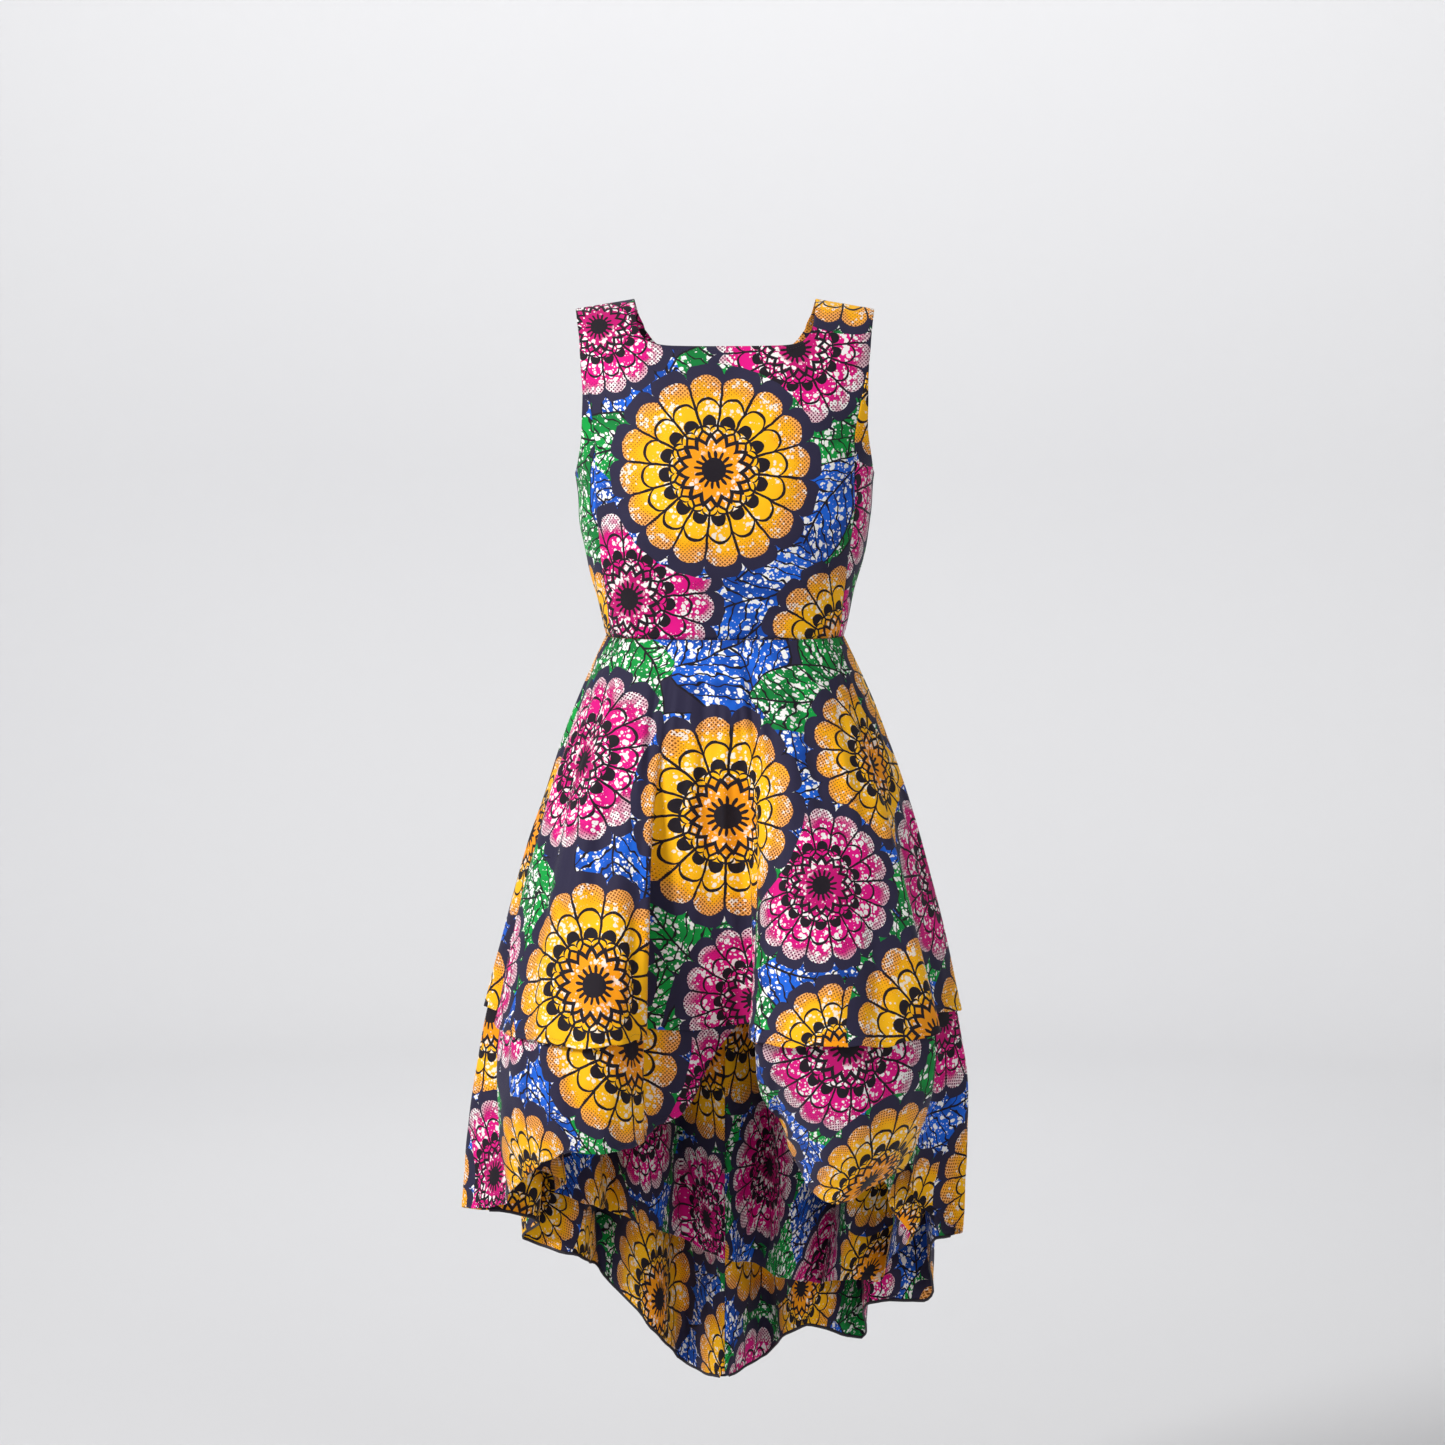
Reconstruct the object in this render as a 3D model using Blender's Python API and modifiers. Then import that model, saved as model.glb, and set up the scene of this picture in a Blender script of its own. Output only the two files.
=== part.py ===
"""Sleeveless dress: a princess-seamed bodice over three flared skirt layers, with a centre-back zip.

Metres, +Z up. The front faces -Y, and left and right are the viewer's, so left is -X. The origin is
the middle of the shoulder line, where the dress hangs from its wearer. Every piece of cloth is an
open sheet of points given a wall, a seam's gap away from the pieces it is sewn to.
"""
import math
from collections import namedtuple

import bpy
import numpy as np

# Cloth
WALL = 0.0012
SEAM_GAP = 0.0003
HALF_GAP = SEAM_GAP / 2
SEAM_PULL = 0.0003

# Levels and depths down from the shoulder line
WAIST_LEVEL = -0.375
OVERLAY_DROP = 0.425

# Bodice
SHOULDER_SLOPE = 0.17
SHOULDER_SLOPE_START = -0.100
SHOULDER_HALF_GAP = 0.0004
SHOULDER_GAP_START = -0.010
WAIST_GAP_END = 0.5
NECK_HALF_WIDTH = 0.101
STRAP_OUTER = 0.166
FLATNESS = 0.25
SECTION_SAMPLES = 400
SIDE_ROWS = 7
CHEST_ROWS = 3
STRAP_ROWS = 4
STRAP_COLUMNS = 4
UNDERARM_COLUMNS = 3

Section = namedtuple("Section", "height half_width front back")
BODICE_SECTIONS = (
    Section(WAIST_LEVEL, 0.1335, 0.0900, 0.0860),
    Section(-0.335, 0.1425, 0.0990, 0.0880),
    Section(-0.290, 0.1540, 0.1110, 0.0920),
    Section(-0.245, 0.1625, 0.1190, 0.0980),
    Section(-0.200, 0.1665, 0.1170, 0.1030),
    Section(-0.155, 0.1740, 0.1070, 0.1065),
    Section(-0.110, 0.1830, 0.0940, 0.1070),
    Section(-0.070, 0.1890, 0.0790, 0.1050),
    Section(-0.035, 0.1915, 0.0620, 0.0940),
    Section(-0.012, 0.1925, 0.0400, 0.0600),
    Section(-0.002, 0.1930, 0.0170, 0.0260),
    Section(0.000, 0.1930, 0.0000, 0.0000),
)

# Edges of the bodice pieces, and the lines that carry them on down to the waist
Edge = namedtuple("Edge", "height x")
PRINCESS_SEAM = (
    Edge(WAIST_LEVEL, 0.1270),
    Edge(-0.310, 0.1340),
    Edge(-0.244, 0.1420),
    Edge(-0.157, 0.1430),
    Edge(-0.110, 0.1500),
    Edge(-0.070, 0.1590),
    Edge(-0.020, 0.1630),
    Edge(0.000, STRAP_OUTER),
)
FRONT_NECK = (
    Edge(-0.0545, 0.000),
    Edge(-0.0545, 0.024),
    Edge(-0.0543, 0.047),
    Edge(-0.0530, 0.067),
    Edge(-0.0495, 0.082),
    Edge(-0.0420, 0.0920),
    Edge(-0.0300, 0.0970),
)
BACK_NECK = (
    Edge(-0.0620, 0.000),
    Edge(-0.0615, 0.022),
    Edge(-0.0595, 0.044),
    Edge(-0.0540, 0.064),
    Edge(-0.0450, 0.080),
    Edge(-0.0310, 0.091),
)
NECK_SIDE = (
    Edge(WAIST_LEVEL, 0.055),
    Edge(-0.240, 0.076),
    Edge(-0.120, 0.088),
    Edge(-0.030, 0.0970),
    Edge(-0.012, 0.0996),
    Edge(0.000, NECK_HALF_WIDTH),
)
BACK_NECK_SIDE = (
    Edge(WAIST_LEVEL, 0.050),
    Edge(-0.240, 0.072),
    Edge(-0.120, 0.083),
    Edge(-0.031, 0.091),
    Edge(-0.012, 0.0985),
    Edge(0.000, NECK_HALF_WIDTH),
)
FRONT_ARMHOLE = (
    Edge(-0.070, 0.1590),
    Edge(-0.100, 0.1570),
    Edge(-0.130, 0.1570),
    Edge(-0.158, 0.1590),
    Edge(-0.178, 0.1625),
    Edge(-0.190, 0.1655),
    Edge(-0.194, None),
)
BACK_ARMHOLE_SIDE = (
    Edge(WAIST_LEVEL, 0.104),
    Edge(-0.280, 0.132),
    Edge(-0.178, 0.1625),
    Edge(-0.155, 0.1595),
    Edge(-0.110, 0.1570),
    Edge(-0.050, 0.1595),
    Edge(0.000, STRAP_OUTER),
)
UNDERARM_LEVEL = -0.178
UNDERARM_LOW = -0.194
STRAP_START = -0.045

# The folds of the skirt, one row each, from the centre back round by the left side. Turn is where the
# fold leaves the waist, in degrees from the centre front. The plan places are those of each layer's
# own hem, and drop is how far that hem hangs below the waist.
Fold = namedtuple("Fold", "name turn overlay_x overlay_y long_x long_y long_drop inner_x inner_y inner_drop")
FOLDS = (
    Fold("centre back hollow", -180, 0.000, 0.172, 0.000, 0.175, 0.895, 0.000, 0.120, 0.740),
    Fold("back flute 1", -166, -0.055, 0.215, -0.050, 0.235, 0.895, -0.048, 0.150, 0.725),
    Fold("back hollow 1", -153, -0.096, 0.155, -0.088, 0.165, 0.832, -0.085, 0.108, 0.700),
    Fold("back flute 2", -140, -0.150, 0.205, -0.150, 0.215, 0.778, -0.135, 0.130, 0.686),
    Fold("back hollow 2", -128, -0.168, 0.138, -0.168, 0.130, 0.740, -0.150, 0.080, 0.668),
    Fold("back flute 3", -116, -0.225, 0.150, -0.236, 0.140, 0.722, -0.195, 0.085, 0.655),
    Fold("side hollow", -104, -0.207, 0.078, -0.220, 0.070, 0.680, -0.186, 0.030, 0.628),
    Fold("left side flute", -92, -0.274, 0.024, -0.300, 0.010, 0.655, -0.228, -0.005, 0.600),
    Fold("left side hollow", -80, -0.221, -0.035, -0.252, -0.056, 0.637, -0.203, -0.048, 0.560),
    Fold("left front flute, side", -69, -0.254, -0.092, -0.236, -0.115, 0.608, -0.195, -0.090, 0.525),
    Fold("left front flute, corner", -58, -0.224, -0.182, -0.206, -0.163, 0.572, -0.170, -0.130, 0.485),
    Fold("left front flute, middle", -46, -0.172, -0.234, -0.165, -0.203, 0.548, -0.135, -0.155, 0.455),
    Fold("left front flute, inner", -34, -0.114, -0.232, -0.115, -0.208, 0.545, -0.098, -0.185, 0.435),
    Fold("left front flute, fold", -26, -0.091, -0.192, -0.091, -0.182, 0.540, -0.080, -0.160, 0.422),
    Fold("front recess, left", -19, -0.086, -0.142, -0.077, -0.147, 0.534, -0.072, -0.120, 0.415),
    Fold("front recess, middle", -10, -0.043, -0.134, -0.038, -0.110, 0.512, -0.035, -0.100, 0.412),
    Fold("front recess, right", -2, 0.006, -0.108, -0.012, -0.092, 0.440, 0.000, -0.080, 0.410),
    Fold("front recess, depth", 5, 0.036, -0.114, 0.026, -0.092, 0.412, 0.033, -0.084, 0.410),
    Fold("right front flute, fold", 12, 0.021, -0.170, 0.040, -0.130, 0.465, 0.050, -0.115, 0.416),
    Fold("right front flute, inner", 20, 0.056, -0.232, 0.066, -0.115, 0.540, 0.084, -0.100, 0.445),
    Fold("right front flute, middle", 31, 0.122, -0.245, 0.091, -0.132, 0.600, 0.110, -0.098, 0.520),
    Fold("right front flute, outer", 43, 0.186, -0.215, 0.126, -0.156, 0.611, 0.136, -0.118, 0.585),
    Fold("right front flute, corner", 55, 0.232, -0.160, 0.188, -0.090, 0.594, 0.165, -0.058, 0.612),
    Fold("right side hollow", 66, 0.214, -0.086, 0.206, -0.046, 0.590, 0.184, -0.015, 0.622),
    Fold("right side fold", 76, 0.236, -0.030, 0.217, -0.008, 0.645, 0.190, 0.022, 0.660),
    Fold("right side flute", 87, 0.270, 0.020, 0.266, -0.030, 0.672, 0.214, 0.018, 0.692),
    Fold("right back hollow", 98, 0.216, 0.072, 0.236, 0.048, 0.708, 0.190, 0.072, 0.732),
    Fold("back flute 4", 111, 0.236, 0.136, 0.240, 0.112, 0.785, 0.180, 0.102, 0.762),
    Fold("back hollow 3", 123, 0.172, 0.133, 0.168, 0.130, 0.796, 0.130, 0.098, 0.760),
    Fold("back flute 5", 137, 0.163, 0.205, 0.166, 0.215, 0.860, 0.105, 0.142, 0.775),
    Fold("back hollow 4", 151, 0.100, 0.155, 0.092, 0.165, 0.832, 0.065, 0.110, 0.760),
    Fold("back flute 6", 166, 0.056, 0.215, 0.045, 0.243, 0.890, 0.040, 0.148, 0.755),
)
COLUMNS_PER_FOLD = 3
SKIRT_COLUMNS = len(FOLDS) * COLUMNS_PER_FOLD
LEFT_SEAM_COLUMN = 20
RIGHT_SEAM_COLUMN = 76

# How the layers flare: the mean hem ellipse of the overlay, and the room between the layers
FLARE_HALF_WIDTH = 0.250
FLARE_DEPTH = 0.185
FLARE_CURVE = (1.75, -1.05, 0.30)
FLARE_EASE = 2.0
RELIEF_POWER = 1.6
RELIEF_EASE = 4.0
LAYER_STEP = 0.0019
LAYER_SPREAD = 0.0027
SPREAD_POWER = 1.2
PROBE_STEP = 0.02
SWING_START = 0.340
SWING_POWER = 2.5
SWING_LEAST_DROP = 0.530
OVERLAY_LOWER_ROWS = 2
LONG_LOWER_ROWS = 5
INNER_LOWER_ROWS = 4
UPPER_DROPS = (0.0, 0.030, 0.070, 0.120, 0.180, 0.250, 0.325)

# Zip
TAPE_WALL = 0.0010
TAPE_INNER_EDGE = 0.0014
TAPE_OUTER_EDGE = 0.0110
TAPE_TOP_DROP = 0.0015
TAPE_CLEARANCE = 0.0005
ZIP_END_ROW = 3
SLIT_HALF_WIDTH = 0.0019
SLIT_OPEN = -0.075
SLIT_CLOSED = -0.105
SLIDER_LEVEL = -0.076
SLIDER_PLATE = (0.0056, 0.0012, 0.0090)
SLIDER_NECK_WIDTH = 0.0018
SLIDER_NECK_HEIGHT = 0.0050
BRIDGE_WIDTH = 0.0016
BRIDGE_WALL = 0.0008
BRIDGE_HOLE = (0.0022, 0.0036)
PULL_THICKNESS = 0.0010
PULL_BAR = 0.0010
PULL_LENGTH = 0.0200
PULL_HALF_WIDTH = 0.0026
PULL_WINDOW_HALF_WIDTH = 0.0013
PULL_WINDOW_END = 0.0042
PULL_CORNER = 0.0004
PULL_WAIST_HALF_WIDTH = 0.0019
PULL_WAIST_LEVEL = -0.0085
PULL_FOOT_POINTS = 9
WELD_DISTANCE = 0.00002

# Cloth finish for each piece: the print's colour that lies on most of it
GOLD = (0.88, 0.50, 0.03)
MAGENTA = (0.78, 0.03, 0.32)
GREEN = (0.04, 0.36, 0.10)
BLUE = (0.03, 0.16, 0.60)
NAVY = (0.030, 0.028, 0.070)
STEEL = (0.55, 0.55, 0.57)

Finish = namedtuple("Finish", "color roughness metallic")
CLOTH_ROUGHNESS = 0.75
TRIM_ROUGHNESS = 0.35


def clear_scene():
    """Remove whatever the opened file holds."""
    for old in list(bpy.data.objects):
        bpy.data.objects.remove(old, do_unlink=True)


def add_collection(name):
    """Make a collection and hang it under the scene's own."""
    collection = bpy.data.collections.new(name)
    bpy.context.scene.collection.children.link(collection)
    return collection


def add_material(name, finish):
    """Make a Principled material from a finish."""
    material = bpy.data.materials.new(name + "_finish")
    material.use_nodes = True
    shader = material.node_tree.nodes["Principled BSDF"]
    shader.inputs["Base Color"].default_value = (*finish.color, 1.0)
    shader.inputs["Roughness"].default_value = finish.roughness
    shader.inputs["Metallic"].default_value = finish.metallic
    return material


def through(rows, place, closed=False):
    """Read a smooth Catmull-Rom curve through the rows; a place is a row number and its fraction."""
    rows = np.asarray(rows, float)
    place = np.asarray(place, float)
    count = len(rows)
    if closed:
        first = np.floor(place).astype(int)
        near = [rows[(first + step) % count] for step in (-1, 0, 1, 2)]
    else:
        first = np.clip(np.floor(place).astype(int), 0, count - 2)
        start = 2 * rows[:1] - rows[1:2]
        end = 2 * rows[-1:] - rows[-2:-1]
        padded = np.concatenate([start, rows, end])
        near = [padded[first + step] for step in (0, 1, 2, 3)]
    t = (place - first)[..., None]
    before, here, there, after = near
    return 0.5 * (
        2 * here
        + (there - before) * t
        + (2 * before - 5 * here + 4 * there - after) * t**2
        + (3 * here - before - 3 * there + after) * t**3
    )


def smooth_step(low, high, value):
    """Rise gently from 0 at low to 1 at high."""
    share = np.clip((value - low) / (high - low), 0.0, 1.0)
    return share * share * (3 - 2 * share)


def section_at(place):
    """The bodice's height, half width, front depth and back depth at a section-row place."""
    values = through([tuple(row) for row in BODICE_SECTIONS], place)
    return [values[..., column] for column in range(values.shape[-1])]


SECTION_PLACES = np.linspace(0, len(BODICE_SECTIONS) - 1, SECTION_SAMPLES)
SECTION_HEIGHTS = np.maximum.accumulate(section_at(SECTION_PLACES)[0])


def place_of(height):
    """The section-row place of a height."""
    return np.interp(height, SECTION_HEIGHTS, SECTION_PLACES)


def bodice_point(turn, place, side):
    """A point of the bodice's outer face; turn runs from the centre line, side is -1 front, +1 back."""
    height, half_width, front, back = section_at(place)
    depth = front if side < 0 else back
    x = half_width * np.sin(turn)
    y = depth * np.cos(turn) * (1 + FLATNESS * np.sin(turn) ** 2)
    gap = HALF_GAP + smooth_step(SHOULDER_GAP_START, 0.0, height) * (SHOULDER_HALF_GAP - HALF_GAP)
    y = side * np.maximum(y, gap)
    slope = SHOULDER_SLOPE * smooth_step(SHOULDER_SLOPE_START, 0.0, height)
    z = height - slope * np.maximum(np.abs(x) - NECK_HALF_WIDTH, 0.0)
    z = z + HALF_GAP * (1 - smooth_step(0.0, WAIST_GAP_END, place))
    return np.stack([x, y, z], axis=-1)


def edge_turn(edges, place):
    """The turn at which an edge, a list of heights and distances, is met at a section-row place."""
    height, half_width, _, _ = section_at(place)
    reach = np.interp(height, [edge.height for edge in edges], [edge.x for edge in edges])
    return np.arcsin(np.clip(reach / half_width, -1, 1))


def boundary(edges):
    """An edge's rows as section-row places and turns from the centre line."""
    places = place_of(np.array([edge.height for edge in edges]))
    half_widths = section_at(places)[1]
    turns = []
    for edge, half_width in zip(edges, half_widths):
        turns.append(math.pi / 2 if edge.x is None else math.asin(edge.x / half_width))
    return places, np.array(turns)


def fan(top_places, top_shares, inner_turn, outer_turn, side, rows):
    """Columns that rise from the waist to a top edge, between an inner and an outer side edge.

    A share is how far a column stands from the inner edge (0) to the outer edge (1).
    """
    up = np.linspace(0, 1, rows + 1)[:, None]
    place = up * top_places[None, :]
    share = np.linspace(0, 1, len(top_shares)) * (1 - up) + top_shares * up
    inner = inner_turn(place)
    outer = outer_turn(place)
    return bodice_point(inner + share * (outer - inner), place, side)


def climb(*stages):
    """Section-row places up a column: stages of a top place and the rows that lead up to it."""
    places = [0.0]
    for top, rows in stages:
        places += list(np.linspace(places[-1], top, rows + 1)[1:])
    return np.array(places)


def between(first, last, count):
    """Columns spread evenly from the first column to the last, both left in."""
    share = np.linspace(0, 1, count + 1)
    return first[:, None] * (1 - share) + last[:, None] * share


def neck_columns(edges, neck_place, neck_turn):
    """Columns from the centre line to the neck's side, which end on the neckline."""
    places, turns = boundary(edges)
    up = neck_place[:, None] / neck_place[-1]
    share = np.linspace(0, 1, len(edges)) * (1 - up) + turns / turns[-1] * up
    return up * places, share * neck_turn[:, None]


def princess_turn(place):
    """The turn of the princess seam, and of the front's armhole edge above it."""
    return edge_turn(PRINCESS_SEAM, place)


def side_turn(place):
    """The turn of the side seam."""
    return np.full_like(place, math.pi / 2)


def pull_edge_back(points, column):
    """Move a grid's first (0) or last (-1) column in by half a seam's gap, square to the seam."""
    near = points[:, 1] if column == 0 else points[:, -2]
    edge = points[:, column]
    along = np.gradient(edge, axis=0)
    along /= np.linalg.norm(along, axis=-1, keepdims=True)
    away = near - edge
    away -= np.sum(away * along, axis=-1, keepdims=True) * along
    edge += away / np.linalg.norm(away, axis=-1, keepdims=True) * SEAM_PULL


def bodice_front_points():
    """The front: neck, straps and princess edges, with its right half mirrored to its left."""
    top = len(BODICE_SECTIONS) - 1
    seam_place = climb((SIDE_ROWS, SIDE_ROWS), (top, STRAP_ROWS))
    seam_turn = edge_turn(PRINCESS_SEAM, seam_place)
    neck_top = place_of(FRONT_NECK[-1].height)
    side_place = climb((neck_top, SIDE_ROWS), (top, STRAP_ROWS))
    side_turns = edge_turn(NECK_SIDE, side_place)
    below = slice(0, SIDE_ROWS + 1)
    neck_place, neck_turn = neck_columns(FRONT_NECK, side_place[below], side_turns[below])
    strap_place = between(side_place, seam_place, STRAP_COLUMNS)
    strap_turn = between(side_turns, seam_turn, STRAP_COLUMNS)
    straps = bodice_point(strap_turn, strap_place, -1)
    half = np.full((len(straps), len(FRONT_NECK) + STRAP_COLUMNS, 3), np.nan)
    half[:, len(FRONT_NECK) - 1:] = straps
    half[below, :len(FRONT_NECK)] = bodice_point(neck_turn, neck_place, -1)
    pull_edge_back(half, -1)
    return np.concatenate([mirrored(half[:, :0:-1]), half], axis=1)


def bodice_side_points():
    """The right side front, from the princess seam to the side seam, under the armhole."""
    places, turns = boundary(FRONT_ARMHOLE)
    seam = edge_turn(PRINCESS_SEAM, places)
    shares = (turns - seam) / (math.pi / 2 - seam)
    shares[0] = 0.0
    points = fan(places, shares, princess_turn, side_turn, -1, SIDE_ROWS)
    pull_edge_back(points, 0)
    return points


def bodice_back_points():
    """The right back, from the centre-back slit to the side seam, with neck, strap and armhole."""
    top = len(BODICE_SECTIONS) - 1
    underarm = place_of(UNDERARM_LEVEL)
    low = place_of(UNDERARM_LOW)
    neck_top = place_of(BACK_NECK[-1].height)
    strap_start = place_of(STRAP_START)
    arm_place = climb((underarm, SIDE_ROWS), (strap_start, CHEST_ROWS), (top, STRAP_ROWS))
    arm_turn = edge_turn(BACK_ARMHOLE_SIDE, arm_place)
    side_place = climb((underarm, SIDE_ROWS), (neck_top, CHEST_ROWS), (top, STRAP_ROWS))
    side_turns = edge_turn(BACK_NECK_SIDE, side_place)
    below_neck = slice(0, SIDE_ROWS + CHEST_ROWS + 1)
    below_arm = slice(0, SIDE_ROWS + 1)
    neck_place, neck_turn = neck_columns(BACK_NECK, side_place[below_neck], side_turns[below_neck])
    strap_place = between(side_place, arm_place, STRAP_COLUMNS)
    strap_turn = between(side_turns, arm_turn, STRAP_COLUMNS)
    share = np.linspace(0, 1, UNDERARM_COLUMNS + 1)
    dip = underarm + (low - underarm) * (1 - (1 - share) ** 2)
    under_place = arm_place[below_arm, None] / underarm * dip
    under_turn = arm_turn[below_arm, None] * (1 - share) + math.pi / 2 * share
    first_strap = len(BACK_NECK) - 1
    last_strap = first_strap + STRAP_COLUMNS
    points = np.full((len(arm_place), last_strap + UNDERARM_COLUMNS + 1, 3), np.nan)
    points[below_neck, :len(BACK_NECK)] = bodice_point(neck_turn, neck_place, 1)
    points[:, first_strap:last_strap + 1] = bodice_point(strap_turn, strap_place, 1)
    points[below_arm, last_strap:] = bodice_point(under_turn, under_place, 1)
    closed = smooth_step(SLIT_CLOSED, SLIT_OPEN, points[:, 0, 2])
    points[:, 0, 0] = HALF_GAP + closed * (SLIT_HALF_WIDTH - HALF_GAP)
    return points


def waist_point(turn):
    """The waist ring's plan place at a turn from the centre front."""
    waist = BODICE_SECTIONS[0]
    depth = np.where(np.cos(turn) > 0, waist.front, waist.back)
    x = waist.half_width * np.sin(turn)
    y = -depth * np.cos(turn) * (1 + FLATNESS * np.sin(turn) ** 2)
    return np.stack([x, y], axis=-1)


def flare(share):
    """How far the cloth has swung out from the waist, 1 at the overlay's hem, easing below it."""
    quick, slowing, settling = FLARE_CURVE
    above = share * (quick + slowing * share + settling * share**2)
    slope = quick + 2 * slowing + 3 * settling
    below = 1 + slope / FLARE_EASE * (1 - np.exp(FLARE_EASE * (1 - share)))
    return np.where(share <= 1, above, below)


def relief(share):
    """How deep the folds are, 1 at the overlay's hem, easing below it."""
    above = np.maximum(share, 0.0) ** RELIEF_POWER
    below = 1 + RELIEF_POWER / RELIEF_EASE * (1 - np.exp(RELIEF_EASE * (1 - share)))
    return np.where(share <= 1, above, below)


def fold_rows(*names):
    """The named columns of the fold table, as rows of numbers."""
    return [[getattr(fold, name) for name in names] for fold in FOLDS]


def overlay_plan(fold_place, drop):
    """Plan place of the overlay's outer face at a place along the folds and a drop below the waist."""
    turns = np.radians([fold.turn for fold in FOLDS])
    count = len(FOLDS)
    wander = turns - np.linspace(-math.pi, math.pi, count + 1)[:-1]
    steady = -math.pi + 2 * math.pi * fold_place / count
    turn = steady + through(wander[:, None], fold_place, closed=True)[..., 0]
    hem = through(fold_rows("overlay_x", "overlay_y"), fold_place, closed=True)
    mean = np.stack([FLARE_HALF_WIDTH * np.sin(turn), -FLARE_DEPTH * np.cos(turn)], axis=-1)
    share = (drop / OVERLAY_DROP)[..., None]
    waist = waist_point(turn)
    return waist + flare(share) * (mean - waist) + relief(share) * (hem - mean)


def nested_plan(fold_place, drop, inward):
    """The overlay's plan moved inwards by a distance, square to the cloth."""
    ahead = overlay_plan(fold_place + PROBE_STEP, drop)
    behind = overlay_plan(fold_place - PROBE_STEP, drop)
    along = ahead - behind
    length = np.linalg.norm(along, axis=-1, keepdims=True)
    outward = np.stack([along[..., 1], -along[..., 0]], axis=-1) / length
    return overlay_plan(fold_place, drop) - outward * inward[..., None]


def layer_inset(layer, drop):
    """How far inside the overlay a layer lies: a step at the waist, more room below."""
    share = np.minimum(drop / OVERLAY_DROP, 1.0)
    return layer * (LAYER_STEP + LAYER_SPREAD * share**SPREAD_POWER)


def layer_points(fold_place, drop, layer, kind):
    """Points of one skirt layer's outer face; kind names the layer's columns in the fold table."""
    inset = layer_inset(layer, drop)
    plan = nested_plan(fold_place, drop, inset)
    if kind != "overlay":
        hem = through(fold_rows(kind + "_x", kind + "_y", kind + "_drop"), fold_place, closed=True)
        hem_drop = hem[..., 2]
        full_drop = np.maximum(hem_drop, SWING_LEAST_DROP)
        rest = nested_plan(fold_place, full_drop, layer_inset(layer, full_drop))
        reach = np.clip((drop - SWING_START) / (full_drop - SWING_START), 0, 1) ** SWING_POWER
        plan = plan + reach[..., None] * (hem[..., :2] - rest)
    z = WAIST_LEVEL - HALF_GAP - drop
    return np.concatenate([plan, z[..., None]], axis=-1)


def layer_sheet(first_column, last_column, layer, kind, lower_rows):
    """A skirt piece between two seam columns, from the waist to its hem."""
    columns = last_column - first_column + 1
    fold_place = np.arange(first_column, last_column + 1) / COLUMNS_PER_FOLD
    if kind == "overlay":
        hem_drop = np.full(columns, OVERLAY_DROP)
    else:
        hem_drop = through(fold_rows(kind + "_drop"), fold_place, closed=True)[..., 0]
    upper = np.array(UPPER_DROPS)[:, None] * np.ones(columns)
    share = np.linspace(0, 1, lower_rows + 1)[1:, None]
    lower = UPPER_DROPS[-1] + share * (hem_drop - UPPER_DROPS[-1])
    drop = np.concatenate([upper, lower])
    places = np.broadcast_to(fold_place, drop.shape)
    points = layer_points(places, drop, layer, kind)
    pull_edge_back(points, 0)
    pull_edge_back(points, -1)
    return points


def across_seam(line, reach):
    """Points beside the centre-back seam, read along one row of a panel at distances from the seam."""
    order = np.argsort(np.abs(line[:, 0]))
    distance = np.abs(line[order, 0])
    y = np.interp(reach, distance, line[order, 1])
    z = np.interp(reach, distance, line[order, 2])
    return np.stack([reach, y, z], axis=-1)


def tape_points():
    """The right zip tape: the rows of the panels beside the seam, moved in under their walls."""
    reach = np.linspace(TAPE_INNER_EDGE, TAPE_OUTER_EDGE, 3)
    skirt = layer_sheet(RIGHT_SEAM_COLUMN, SKIRT_COLUMNS, 2, "inner", INNER_LOWER_ROWS)
    back = bodice_back_points()
    rows = [across_seam(line, reach) for line in skirt[ZIP_END_ROW:0:-1]]
    rows += [across_seam(line[:2], reach) for line in back[:SIDE_ROWS + CHEST_ROWS + 1]]
    points = np.array(rows)
    points[:, :, 1] -= WALL + TAPE_CLEARANCE
    points[ZIP_END_ROW, :, 1] -= 2 * LAYER_STEP
    points[-1, :, 2] -= TAPE_TOP_DROP
    return points


def add_sheet(name, points, wall, finish, collection, outward):
    """Make a grid of points into a sheet whose wall grows inwards from the outer face.

    Points that aren't numbers are left out. outward is a rough direction out of the garment at the
    middle of the sheet's lower half, used to turn its faces.
    """
    rows, columns = points.shape[:2]
    present = ~np.isnan(points[:, :, 0])
    number = np.cumsum(present).reshape(rows, columns) - 1
    corners = (number[:-1, :-1], number[:-1, 1:], number[1:, 1:], number[1:, :-1])
    whole = present[:-1, :-1] & present[:-1, 1:] & present[1:, 1:] & present[1:, :-1]
    low, right, far, top = (corner[whole] for corner in corners)
    faces = np.concatenate([np.stack([low, right, far], 1), np.stack([low, far, top], 1)])
    row = rows // 3
    column = columns // 2
    across = points[row, column] - points[row, column - 1]
    along = points[row, column] - points[row - 1, column]
    if np.dot(np.cross(across, along), outward) < 0:
        faces = faces[:, ::-1]
    mesh = bpy.data.meshes.new(name)
    mesh.from_pydata(points[present].tolist(), [], faces.tolist())
    mesh.materials.append(add_material(name, finish))
    mesh.shade_smooth()
    sheet = bpy.data.objects.new(name, mesh)
    collection.objects.link(sheet)
    solidify = sheet.modifiers.new("wall", "SOLIDIFY")
    solidify.thickness = wall
    solidify.offset = -1
    return sheet


def mirrored(points):
    """A grid's mirror image across the centre plane."""
    return points * np.array([-1, 1, 1])


def cloth(color):
    """The finish of a piece of cloth."""
    return Finish(color, CLOTH_ROUGHNESS, 0.0)


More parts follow.
